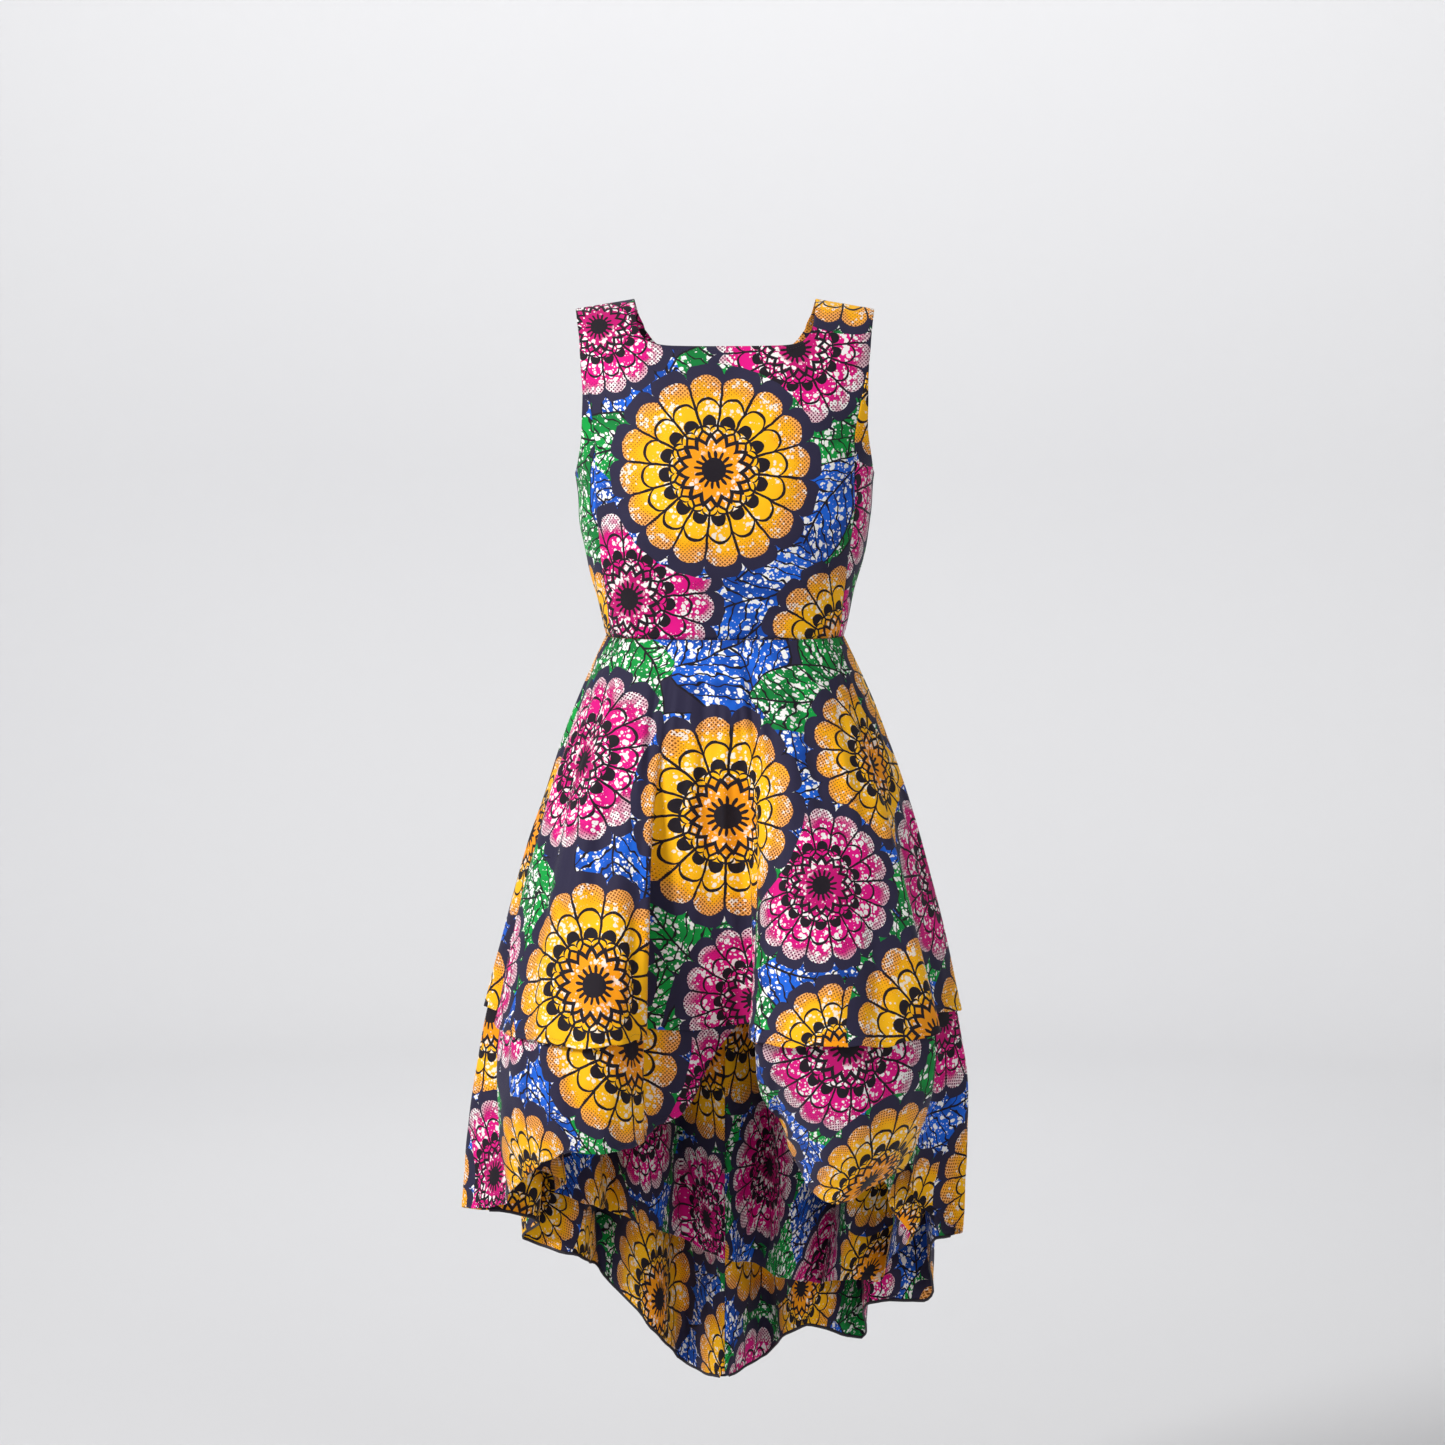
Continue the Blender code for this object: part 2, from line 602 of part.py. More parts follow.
def make_bodice(collection):
    """The five pieces of the bodice."""
    add_sheet("bodice_front", bodice_front_points(), WALL, cloth(GOLD), collection, (0, -1, 0))
    side_points = bodice_side_points()
    add_sheet("bodice_side_right", side_points, WALL, cloth(BLUE), collection, (1, -0.5, 0))
    add_sheet("bodice_side_left", mirrored(side_points), WALL, cloth(GREEN), collection, (-1, -0.5, 0))
    back_points = bodice_back_points()
    add_sheet("bodice_back_right", back_points, WALL, cloth(MAGENTA), collection, (0.3, 1, 0))
    add_sheet("bodice_back_left", mirrored(back_points), WALL, cloth(GOLD), collection, (-0.3, 1, 0))


def make_skirt(collection):
    """The three skirt layers, each a front and two backs."""
    layers = (
        ("overlay", 0, OVERLAY_LOWER_ROWS, (GOLD, MAGENTA, GREEN)),
        ("long", 1, LONG_LOWER_ROWS, (BLUE, GREEN, MAGENTA)),
        ("inner", 2, INNER_LOWER_ROWS, (GREEN, GOLD, GOLD)),
    )
    for kind, layer, lower_rows, colors in layers:
        pieces = (
            ("front", LEFT_SEAM_COLUMN, RIGHT_SEAM_COLUMN, colors[0]),
            ("back_left", 0, LEFT_SEAM_COLUMN, colors[1]),
            ("back_right", RIGHT_SEAM_COLUMN, SKIRT_COLUMNS, colors[2]),
        )
        for part, first_column, last_column, color in pieces:
            points = layer_sheet(first_column, last_column, layer, kind, lower_rows)
            middle = points[len(points) // 2, points.shape[1] // 2]
            outward = (middle[0], middle[1], 0)
            add_sheet(kind + "_" + part, points, WALL, cloth(color), collection, outward)


def add_block(name, size, centre, collection):
    """A box of a size about a centre."""
    bpy.ops.mesh.primitive_cube_add(size=1, location=centre)
    block = bpy.context.active_object
    block.name = name
    block.scale = size
    bpy.context.view_layer.update()
    for owner in list(block.users_collection):
        owner.objects.unlink(block)
    collection.objects.link(block)
    return block


def slider_levels():
    """The slider's y places: inner plate, outer plate and the pull's axis."""
    seam = bodice_back_points()[:SIDE_ROWS + CHEST_ROWS + 1, 0]
    half = SLIDER_PLATE[2] / 2
    ends = np.array([SLIDER_LEVEL - half, SLIDER_LEVEL + half])
    cloth_y = np.interp(ends, seam[:, 2], seam[:, 1])
    plate = SLIDER_PLATE[1]
    inner_face = cloth_y.min() - WALL - TAPE_CLEARANCE - TAPE_WALL - SEAM_GAP
    outer_face = cloth_y.max() + SEAM_GAP
    axis = outer_face + plate + BRIDGE_HOLE[0] / 2
    return inner_face - plate / 2, outer_face + plate / 2, axis


def make_slider(collection, guides):
    """The zip's slider: two plates, the neck between them and the bridge that holds the pull."""
    inner_y, outer_y, axis_y = slider_levels()
    plate = SLIDER_PLATE
    slider = add_block("zip_slider", plate, (0, outer_y, SLIDER_LEVEL), collection)
    slider.data.materials.append(add_material("zip_slider", Finish(STEEL, TRIM_ROUGHNESS, 0.9)))
    neck_depth = outer_y - inner_y
    neck_size = (SLIDER_NECK_WIDTH, neck_depth, SLIDER_NECK_HEIGHT)
    neck = add_block("slider_neck", neck_size, (0, (inner_y + outer_y) / 2, SLIDER_LEVEL), guides)
    inner = add_block("slider_inner_plate", plate, (0, inner_y, SLIDER_LEVEL), guides)
    parts = [neck, inner]
    hole_depth, hole_height = BRIDGE_HOLE
    leg_depth = hole_depth + BRIDGE_WALL + plate[1] / 2
    leg_y = outer_y + leg_depth / 2
    leg_offset = (hole_height + BRIDGE_WALL) / 2
    for sign in (-1, 1):
        leg_size = (BRIDGE_WIDTH, leg_depth, BRIDGE_WALL)
        leg_centre = (0, leg_y, SLIDER_LEVEL + sign * leg_offset)
        parts.append(add_block("slider_bridge_leg", leg_size, leg_centre, guides))
    crown_size = (BRIDGE_WIDTH, BRIDGE_WALL, hole_height + 2 * BRIDGE_WALL)
    crown_y = axis_y + (hole_depth + BRIDGE_WALL) / 2
    parts.append(add_block("slider_bridge_crown", crown_size, (0, crown_y, SLIDER_LEVEL), guides))
    for part in parts:
        part.hide_render = True
        part.display_type = "WIRE"
        union = slider.modifiers.new("join", "BOOLEAN")
        union.operation = "UNION"
        union.solver = "EXACT"
        union.object = part


def pull_outline():
    """The pull tab's outline from its bar down: square at the top, waisted, with a round foot."""
    top = PULL_BAR / 2
    corner = PULL_CORNER
    foot_centre = PULL_HALF_WIDTH - PULL_LENGTH
    right = [
        (PULL_HALF_WIDTH - corner, top),
        (PULL_HALF_WIDTH, top - corner),
        (PULL_HALF_WIDTH, -PULL_WINDOW_END),
        (PULL_WAIST_HALF_WIDTH, PULL_WAIST_LEVEL),
    ]
    foot = []
    for angle in np.linspace(0, math.pi, PULL_FOOT_POINTS):
        foot.append((PULL_HALF_WIDTH * math.cos(angle), foot_centre - PULL_HALF_WIDTH * math.sin(angle)))
    left = [(-x, z) for x, z in reversed(right)]
    return right + foot + left


def add_loop(curve, outline):
    """Add a closed straight-sided spline to a flat curve."""
    spline = curve.splines.new("POLY")
    spline.points.add(len(outline) - 1)
    for point, (x, z) in zip(spline.points, outline):
        point.co = (x, z, 0, 1)
    spline.use_cyclic_u = True


def make_pull(collection):
    """The pull tab, hanging from the slider's bridge by the bar above its window."""
    curve = bpy.data.curves.new("zip_pull", "CURVE")
    curve.dimensions = "2D"
    curve.fill_mode = "BOTH"
    curve.extrude = PULL_THICKNESS / 2
    add_loop(curve, pull_outline())
    half = PULL_WINDOW_HALF_WIDTH
    top = -PULL_BAR / 2
    add_loop(curve, [(half, top), (half, -PULL_WINDOW_END), (-half, -PULL_WINDOW_END), (-half, top)])
    curve.materials.append(add_material("zip_pull", Finish(NAVY, TRIM_ROUGHNESS, 0.6)))
    pull = bpy.data.objects.new("zip_pull", curve)
    collection.objects.link(pull)
    pull.location = (0, slider_levels()[2], SLIDER_LEVEL)
    pull.rotation_euler = (math.pi / 2, 0, 0)
    weld = pull.modifiers.new("weld", "WELD")
    weld.merge_threshold = WELD_DISTANCE


def make_zip(collection, guides):
    """The two tapes, the slider and its pull."""
    tape = tape_points()
    add_sheet("zip_tape_right", tape, TAPE_WALL, cloth(NAVY), collection, (0, 1, 0))
    add_sheet("zip_tape_left", mirrored(tape), TAPE_WALL, cloth(NAVY), collection, (0, 1, 0))
    make_slider(collection, guides)
    make_pull(collection)


def main():
    clear_scene()
    dress = add_collection("pleated_dress")
    guides = add_collection("joined_shapes")
    make_bodice(dress)
    make_skirt(dress)
    make_zip(dress, guides)


main()
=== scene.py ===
"""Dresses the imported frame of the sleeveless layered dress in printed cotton, with its sewing and zip.

Metres, +Z up. The front faces -Y, and left is -X. Each cloth panel is worked out again on a fine grid
over the outer face of its solid, with the creases, the seams and the hems that the cloth shows.
"""
import math
from collections import namedtuple
from functools import lru_cache, reduce

import bpy
import numpy as np
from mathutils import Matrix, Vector


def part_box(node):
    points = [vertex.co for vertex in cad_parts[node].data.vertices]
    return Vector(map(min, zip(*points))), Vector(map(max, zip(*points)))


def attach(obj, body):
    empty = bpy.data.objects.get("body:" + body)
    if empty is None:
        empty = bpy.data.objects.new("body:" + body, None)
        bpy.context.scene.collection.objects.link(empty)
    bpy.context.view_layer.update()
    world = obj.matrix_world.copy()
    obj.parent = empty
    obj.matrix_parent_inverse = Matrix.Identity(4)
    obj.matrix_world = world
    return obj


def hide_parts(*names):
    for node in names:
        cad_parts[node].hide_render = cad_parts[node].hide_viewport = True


bl_info = {
    "name": "Layered Print Dress",
    "version": (1, 0, 0),
    "blender": (4, 5, 0),
    "location": "View3D > Sidebar > Dress",
    "description": "Builds the printed cotton, sewing, zip and studio of a sleeveless layered dress",
    "category": "Object",
}

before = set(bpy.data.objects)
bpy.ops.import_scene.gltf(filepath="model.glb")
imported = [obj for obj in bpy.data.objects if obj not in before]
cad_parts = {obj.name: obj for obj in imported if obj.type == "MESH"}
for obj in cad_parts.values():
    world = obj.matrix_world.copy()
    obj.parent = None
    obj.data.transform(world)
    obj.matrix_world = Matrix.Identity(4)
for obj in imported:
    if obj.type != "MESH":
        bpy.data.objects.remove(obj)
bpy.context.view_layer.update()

TURN = 2 * math.pi

# Levels and edges that the solids were made with
HALF_GAP = 0.00015
WAIST_LEVEL = -0.375
OVERLAY_DROP = 0.425
SHOULDER_SLOPE = 0.17
SHOULDER_SLOPE_START = -0.100
WAIST_GAP_END = 0.5
NECK_HALF_WIDTH = 0.101
STRAP_OUTER = 0.166
FLATNESS = 0.25
SECTION_SAMPLES = 400
SIDE_ROWS = 7
CHEST_ROWS = 3
STRAP_ROWS = 4
STRAP_COLUMNS = 4
UNDERARM_COLUMNS = 3
SLIT_HALF_WIDTH = 0.0019
SLIT_OPEN = -0.075
SLIT_CLOSED = -0.105

Section = namedtuple("Section", "height half_width front back")
BODICE_SECTIONS = (
    Section(WAIST_LEVEL, 0.1335, 0.0900, 0.0860),
    Section(-0.335, 0.1425, 0.0990, 0.0880),
    Section(-0.290, 0.1540, 0.1110, 0.0920),
    Section(-0.245, 0.1625, 0.1190, 0.0980),
    Section(-0.200, 0.1665, 0.1170, 0.1030),
    Section(-0.155, 0.1740, 0.1070, 0.1065),
    Section(-0.110, 0.1830, 0.0940, 0.1070),
    Section(-0.070, 0.1890, 0.0790, 0.1050),
    Section(-0.035, 0.1915, 0.0620, 0.0940),
    Section(-0.012, 0.1925, 0.0400, 0.0600),
    Section(-0.002, 0.1930, 0.0170, 0.0260),
    Section(0.000, 0.1930, 0.0000, 0.0000),
)

Edge = namedtuple("Edge", "height x")
PRINCESS_SEAM = (
    Edge(WAIST_LEVEL, 0.1270),
    Edge(-0.310, 0.1340),
    Edge(-0.244, 0.1420),
    Edge(-0.157, 0.1430),
    Edge(-0.110, 0.1500),
    Edge(-0.070, 0.1590),
    Edge(-0.020, 0.1630),
    Edge(0.000, STRAP_OUTER),
)
FRONT_NECK = (
    Edge(-0.0545, 0.000),
    Edge(-0.0545, 0.024),
    Edge(-0.0543, 0.047),
    Edge(-0.0530, 0.067),
    Edge(-0.0495, 0.082),
    Edge(-0.0420, 0.0920),
    Edge(-0.0300, 0.0970),
)
BACK_NECK = (
    Edge(-0.0620, 0.000),
    Edge(-0.0615, 0.022),
    Edge(-0.0595, 0.044),
    Edge(-0.0540, 0.064),
    Edge(-0.0450, 0.080),
    Edge(-0.0310, 0.091),
)
NECK_SIDE = (
    Edge(WAIST_LEVEL, 0.055),
    Edge(-0.240, 0.076),
    Edge(-0.120, 0.088),
    Edge(-0.030, 0.0970),
    Edge(-0.012, 0.0996),
    Edge(0.000, NECK_HALF_WIDTH),
)
BACK_NECK_SIDE = (
    Edge(WAIST_LEVEL, 0.050),
    Edge(-0.240, 0.072),
    Edge(-0.120, 0.083),
    Edge(-0.031, 0.091),
    Edge(-0.012, 0.0985),
    Edge(0.000, NECK_HALF_WIDTH),
)
FRONT_ARMHOLE = (
    Edge(-0.070, 0.1590),
    Edge(-0.100, 0.1570),
    Edge(-0.130, 0.1570),
    Edge(-0.158, 0.1590),
    Edge(-0.178, 0.1625),
    Edge(-0.190, 0.1655),
    Edge(-0.194, None),
)
BACK_ARMHOLE_SIDE = (
    Edge(WAIST_LEVEL, 0.104),
    Edge(-0.280, 0.132),
    Edge(-0.178, 0.1625),
    Edge(-0.155, 0.1595),
    Edge(-0.110, 0.1570),
    Edge(-0.050, 0.1595),
    Edge(0.000, STRAP_OUTER),
)
UNDERARM_LEVEL = -0.178
UNDERARM_LOW = -0.194
STRAP_START = -0.045

# The folds of the skirt, from the centre back round by the left side
Fold = namedtuple("Fold", "name turn overlay_x overlay_y long_x long_y long_drop inner_x inner_y inner_drop")
FOLDS = (
    Fold("centre back hollow", -180, 0.000, 0.172, 0.000, 0.175, 0.895, 0.000, 0.120, 0.740),
    Fold("back flute 1", -166, -0.055, 0.215, -0.050, 0.235, 0.895, -0.048, 0.150, 0.725),
    Fold("back hollow 1", -153, -0.096, 0.155, -0.088, 0.165, 0.832, -0.085, 0.108, 0.700),
    Fold("back flute 2", -140, -0.150, 0.205, -0.150, 0.215, 0.778, -0.135, 0.130, 0.686),
    Fold("back hollow 2", -128, -0.168, 0.138, -0.168, 0.130, 0.740, -0.150, 0.080, 0.668),
    Fold("back flute 3", -116, -0.225, 0.150, -0.236, 0.140, 0.722, -0.195, 0.085, 0.655),
    Fold("side hollow", -104, -0.207, 0.078, -0.220, 0.070, 0.680, -0.186, 0.030, 0.628),
    Fold("left side flute", -92, -0.274, 0.024, -0.300, 0.010, 0.655, -0.228, -0.005, 0.600),
    Fold("left side hollow", -80, -0.221, -0.035, -0.252, -0.056, 0.637, -0.203, -0.048, 0.560),
    Fold("left front flute, side", -69, -0.254, -0.092, -0.236, -0.115, 0.608, -0.195, -0.090, 0.525),
    Fold("left front flute, corner", -58, -0.224, -0.182, -0.206, -0.163, 0.572, -0.170, -0.130, 0.485),
    Fold("left front flute, middle", -46, -0.172, -0.234, -0.165, -0.203, 0.548, -0.135, -0.155, 0.455),
    Fold("left front flute, inner", -34, -0.114, -0.232, -0.115, -0.208, 0.545, -0.098, -0.185, 0.435),
    Fold("left front flute, fold", -26, -0.091, -0.192, -0.091, -0.182, 0.540, -0.080, -0.160, 0.422),
    Fold("front recess, left", -19, -0.086, -0.142, -0.077, -0.147, 0.534, -0.072, -0.120, 0.415),
    Fold("front recess, middle", -10, -0.043, -0.134, -0.038, -0.110, 0.512, -0.035, -0.100, 0.412),
    Fold("front recess, right", -2, 0.006, -0.108, -0.012, -0.092, 0.440, 0.000, -0.080, 0.410),
    Fold("front recess, depth", 5, 0.036, -0.114, 0.026, -0.092, 0.412, 0.033, -0.084, 0.410),
    Fold("right front flute, fold", 12, 0.021, -0.170, 0.040, -0.130, 0.465, 0.050, -0.115, 0.416),
    Fold("right front flute, inner", 20, 0.056, -0.232, 0.066, -0.115, 0.540, 0.084, -0.100, 0.445),
    Fold("right front flute, middle", 31, 0.122, -0.245, 0.091, -0.132, 0.600, 0.110, -0.098, 0.520),
    Fold("right front flute, outer", 43, 0.186, -0.215, 0.126, -0.156, 0.611, 0.136, -0.118, 0.585),
    Fold("right front flute, corner", 55, 0.232, -0.160, 0.188, -0.090, 0.594, 0.165, -0.058, 0.612),
    Fold("right side hollow", 66, 0.214, -0.086, 0.206, -0.046, 0.590, 0.184, -0.015, 0.622),
    Fold("right side fold", 76, 0.236, -0.030, 0.217, -0.008, 0.645, 0.190, 0.022, 0.660),
    Fold("right side flute", 87, 0.270, 0.020, 0.266, -0.030, 0.672, 0.214, 0.018, 0.692),
    Fold("right back hollow", 98, 0.216, 0.072, 0.236, 0.048, 0.708, 0.190, 0.072, 0.732),
    Fold("back flute 4", 111, 0.236, 0.136, 0.240, 0.112, 0.785, 0.180, 0.102, 0.762),
    Fold("back hollow 3", 123, 0.172, 0.133, 0.168, 0.130, 0.796, 0.130, 0.098, 0.760),
    Fold("back flute 5", 137, 0.163, 0.205, 0.166, 0.215, 0.860, 0.105, 0.142, 0.775),
    Fold("back hollow 4", 151, 0.100, 0.155, 0.092, 0.165, 0.832, 0.065, 0.110, 0.760),
    Fold("back flute 6", 166, 0.056, 0.215, 0.045, 0.243, 0.890, 0.040, 0.148, 0.755),
)
SOLID_COLUMNS_A_FOLD = 3
LEFT_SEAM_COLUMN = 20
RIGHT_SEAM_COLUMN = 76
LEFT_SEAM_PLACE = LEFT_SEAM_COLUMN / SOLID_COLUMNS_A_FOLD
RIGHT_SEAM_PLACE = RIGHT_SEAM_COLUMN / SOLID_COLUMNS_A_FOLD
FLARE_HALF_WIDTH = 0.250
FLARE_DEPTH = 0.185
FLARE_CURVE = (1.75, -1.05, 0.30)
FLARE_EASE = 2.0
RELIEF_POWER = 1.6
RELIEF_EASE = 4.0
LAYER_STEP = 0.0019
LAYER_SPREAD = 0.0027
SPREAD_POWER = 1.2
PROBE_STEP = 0.02
SWING_START = 0.340
SWING_POWER = 2.5
SWING_LEAST_DROP = 0.530

# How finely the cloth is worked out
BODICE_FINENESS = 8
COLUMNS_A_FOLD = 10
Layer = namedtuple("Layer", "kind depth rows")
LAYERS = {
    "overlay": Layer("overlay", 0, 76),
    "long": Layer("long", 1, 110),
    "inner": Layer("inner", 2, 96),
}
PARTS = {
    "front": (LEFT_SEAM_PLACE, RIGHT_SEAM_PLACE),
    "back_left": (0.0, LEFT_SEAM_PLACE),
    "back_right": (RIGHT_SEAM_PLACE, float(len(FOLDS))),
}
HEM_STEPS = (0.0125, 0.0105, 0.0092, 0.0082, 0.0074, 0.0066, 0.0058, 0.0045, 0.0028, 0.0012, 0.0)
HEM_STITCH_STEP = 6
HEM_STEPS_HEIGHT = 0.015
HEM_LIFT = 0.001
ROW_CROWDING = 0.95
CUT_SAMPLES = 25
PROFILE_DEPTH_SHARE = 0.8

# The doubled hem: how far it stands out, between which heights it ends, and its stitched line
HEM_DOUBLING = 0.00035
HEM_END = (0.0072, 0.0096)
HEM_LINE_HEIGHT = 0.0058
HEM_LINE_WIDTH = 0.0009
HEM_LINE_DEPTH = 0.00045

# Soft creases in the skirt, common to its three layers. Lean is how many folds a crease moves along on
# its way down, width is in folds, and a crease of negative depth is a trough.
Crease = namedtuple("Crease", "fold_place start end lean width depth")
SKIRT_CREASES = (
    Crease(10.2, 0.012, 0.240, -0.75, 0.32, -0.0054),
    Crease(10.9, 0.060, 0.360, 0.15, 0.28, 0.0040),
    Crease(12.4, 0.010, 0.200, 0.55, 0.26, -0.0047),
    Crease(13.2, 0.100, 0.400, -0.30, 0.24, 0.0036),
    Crease(15.1, 0.008, 0.260, 0.35, 0.30, -0.0050),
    Crease(16.3, 0.030, 0.330, -0.45, 0.26, 0.0043),
    Crease(17.6, 0.006, 0.190, 0.60, 0.28, -0.0058),
    Crease(18.6, 0.050, 0.380, 0.20, 0.26, -0.0032),
    Crease(19.8, 0.010, 0.260, 0.70, 0.30, -0.0047),
    Crease(20.9, 0.090, 0.420, -0.25, 0.30, 0.0040),
    Crease(22.3, 0.012, 0.230, 0.50, 0.30, -0.0050),
    Crease(24.1, 0.040, 0.360, -0.35, 0.28, 0.0032),
    Crease(27.2, 0.010, 0.250, 0.45, 0.30, -0.0047),
    Crease(29.6, 0.030, 0.340, -0.30, 0.30, 0.0036),
    Crease(31.3, 0.010, 0.210, -0.40, 0.26, -0.0043),
    Crease(1.2, 0.012, 0.260, 0.50, 0.28, -0.0047),
    Crease(3.4, 0.020, 0.300, -0.45, 0.30, -0.0043),
    Crease(5.3, 0.060, 0.380, 0.30, 0.28, 0.0036),
    Crease(7.6, 0.010, 0.240, -0.55, 0.30, -0.0050),
    Crease(8.8, 0.070, 0.400, 0.25, 0.28, 0.0036),
    Crease(9.6, 0.080, 0.620, 0.90, 0.26, -0.0055),
    Crease(11.4, 0.090, 0.680, -0.50, 0.30, -0.0065),
    Crease(12.9, 0.060, 0.700, 0.25, 0.26, 0.0055),
    Crease(13.6, 0.050, 0.700, 0.35, 0.30, -0.0080),
    Crease(17.7, 0.040, 0.720, 0.20, 0.30, -0.0080),
    Crease(18.5, 0.050, 0.720, 0.25, 0.28, 0.0055),
    Crease(20.6, 0.050, 0.680, 0.40, 0.28, -0.0065),
    Crease(21.7, 0.070, 0.680, 0.30, 0.26, 0.0048),
)
# Waves of the same cloth: how often round the skirt, how often in a metre down, where they start, height
Wave = namedtuple("Wave", "round down start height")
SKIRT_WAVES = (
    Wave(23, 2.1, 0.4, 0.00075),
    Wave(37, -3.2, 1.9, 0.00055),
    Wave(58, 4.4, 3.1, 0.00035),
    Wave(89, -5.7, 5.2, 0.00022),
)
WAIST_PUCKERS = (
    Wave(131, 0.0, 0.9, 0.00035),
    Wave(97, 0.0, 2.3, 0.00040),
)
PUCKER_REACH = 0.016
WAVES_START = 0.12
CREASE_RISE = 0.3
CREASE_FALL = 0.6
# The drops between which the two lower layers come to hang loose, and the creases that they lose there
LOOSENING = (0.43, 0.56)
LOOSE_CALM = 0.4
LOOSE_WAVES = (
    Wave(29, 5.0, 0.7, 0.0014),
    Wave(43, -7.5, 2.6, 0.0009),
    Wave(71, 9.0, 4.1, 0.0005),
)
HEM_WOBBLE = (
    Wave(17, 0.0, 1.1, 0.0012),
    Wave(41, 0.0, 3.7, 0.0008),
    Wave(83, 0.0, 0.2, 0.0004),
)

# Pulls in the bodice: from one place to another, x and height, on the front or the back
Pull = namedtuple("Pull", "side x height end_x end_height width depth")
BODICE_PULLS = (
    Pull(-1, -0.070, -0.205, -0.152, -0.262, 0.011, -0.0016),
    Pull(-1, 0.072, -0.212, 0.152, -0.250, 0.011, -0.0014),
    Pull(-1, -0.060, -0.250, -0.112, -0.330, 0.012, -0.0013),
    Pull(-1, 0.058, -0.255, 0.110, -0.340, 0.012, -0.0015),
    Pull(-1, -0.020, -0.245, -0.030, -0.360, 0.015, 0.0010),
    Pull(-1, 0.026, -0.270, 0.036, -0.366, 0.013, -0.0010),
    Pull(-1, -0.128, -0.060, -0.140, -0.150, 0.012, -0.0012),
    Pull(-1, 0.126, -0.055, 0.139, -0.160, 0.012, -0.0012),
    Pull(-1, -0.075, -0.075, 0.060, -0.088, 0.009, -0.0008),
    Pull(-1, -0.110, -0.345, 0.020, -0.353, 0.008, 0.0008),
    Pull(1, -0.060, -0.180, -0.140, -0.235, 0.013, -0.0014),
    Pull(1, 0.060, -0.185, 0.140, -0.228, 0.013, -0.0014),
    Pull(1, -0.016, -0.300, -0.100, -0.335, 0.011, -0.0013),
    Pull(1, 0.018, -0.290, 0.104, -0.330, 0.011, -0.0013),
    Pull(1, -0.090, -0.090, -0.130, -0.170, 0.013, -0.0012),
    Pull(1, 0.092, -0.095, 0.130, -0.165, 0.013, -0.0012),
)
BODICE_WAVES = ((31.0, 17.0, 0.5, 0.00045), (-19.0, 43.0, 2.1, 0.00035), (53.0, -29.0, 4.0, 0.00022))
BODICE_WAVE_SPACING = 0.4
PULL_ENDS = 16
CALM_SHOULDER = -0.03
# How far the inner layer is moved in at the front and the back, so that its creases stay clear of the
# long layer's
Clearance = namedtuple("Clearance", "front back")
INNER_CLEARANCE = Clearance(0.0022, -0.0026)
CLEARED_FRONT = (0.25, 0.35)
CLEARED_BACK = (0.45, 0.54)
CLEARANCE_START = (0.15, 0.36)
SEAM_GROOVE = 0.0005
SEAM_GROOVE_WIDTH = 0.0022
WAIST_GROOVE = 0.0004
WAIST_GROOVE_WIDTH = 0.0030

# The print: a flower's middle in the cut, its radius to the petal tips, its turn, and gold 1 or magenta 0
Flower = namedtuple("Flower", "u v radius turn gold")
PrintLayout = namedtuple("PrintLayout", "width height flowers")
LAYOUTS = {
    "bodice": PrintLayout(0.470, 0.455, (
        Flower(0.078, 0.325, 0.088, 0.30, 0.0),
        Flower(-0.140, 0.352, 0.080, 1.10, 0.0),
        Flower(0.140, -0.010, 0.092, 0.15, 1.0),
        Flower(-0.110, 0.045, 0.098, 0.70, 0.0),
        Flower(-0.012, 0.188, 0.106, 0.10, 1.0),
    )),
    "skirt": PrintLayout(0.560, 0.500, (
        Flower(0.215, -0.075, 0.096, 0.50, 1.0),
        Flower(-0.170, -0.100, 0.100, 0.90, 0.0),
        Flower(0.030, -0.400, 0.084, 0.20, 0.0),
        Flower(0.165, -0.250, 0.086, 0.35, 0.0),
        Flower(0.235, -0.430, 0.084, 0.60, 1.0),
        Flower(0.005, -0.195, 0.110, 0.05, 1.0),
        Flower(-0.205, -0.355, 0.112, 0.80, 1.0),
    )),
}
# How far each panel's cut is moved on the printed cloth, and how far it is turned on it
Lay = namedtuple("Lay", "layout u v turn")
LAYS = {
    "bodice_front": Lay("bodice", 0.000, 0.000, 0.0),
    "bodice_side_left": Lay("bodice", -0.140, 0.020, 0.1),
    "bodice_side_right": Lay("bodice", 0.230, -0.100, -0.1),
    "bodice_back_left": Lay("bodice", -0.060, 0.180, 0.0),
    "bodice_back_right": Lay("bodice", 0.120, 0.060, 0.0),
    "overlay_front": Lay("skirt", 0.000, 0.000, 0.0),
    "overlay_back_left": Lay("skirt", 0.170, 0.110, 0.3),
    "overlay_back_right": Lay("skirt", -0.120, 0.200, -0.4),
    "long_front": Lay("skirt", 0.080, 0.260, 0.2),
    "long_back_left": Lay("skirt", -0.220, 0.090, 0.5),
    "long_back_right": Lay("skirt", 0.240, -0.130, -0.2),
    "inner_front": Lay("skirt", 0.300, 0.060, -0.3),
    "inner_back_left": Lay("skirt", 0.050, 0.330, 0.4),
    "inner_back_right": Lay("skirt", -0.260, 0.210, 0.1),
}
PETALS = 16
LINE = 0.0010
VEIN_SPACING = 0.0150
MESH_SPACING = 0.0046
YARN_SPACING = 0.0007
BUMP_DEPTH = 0.0002

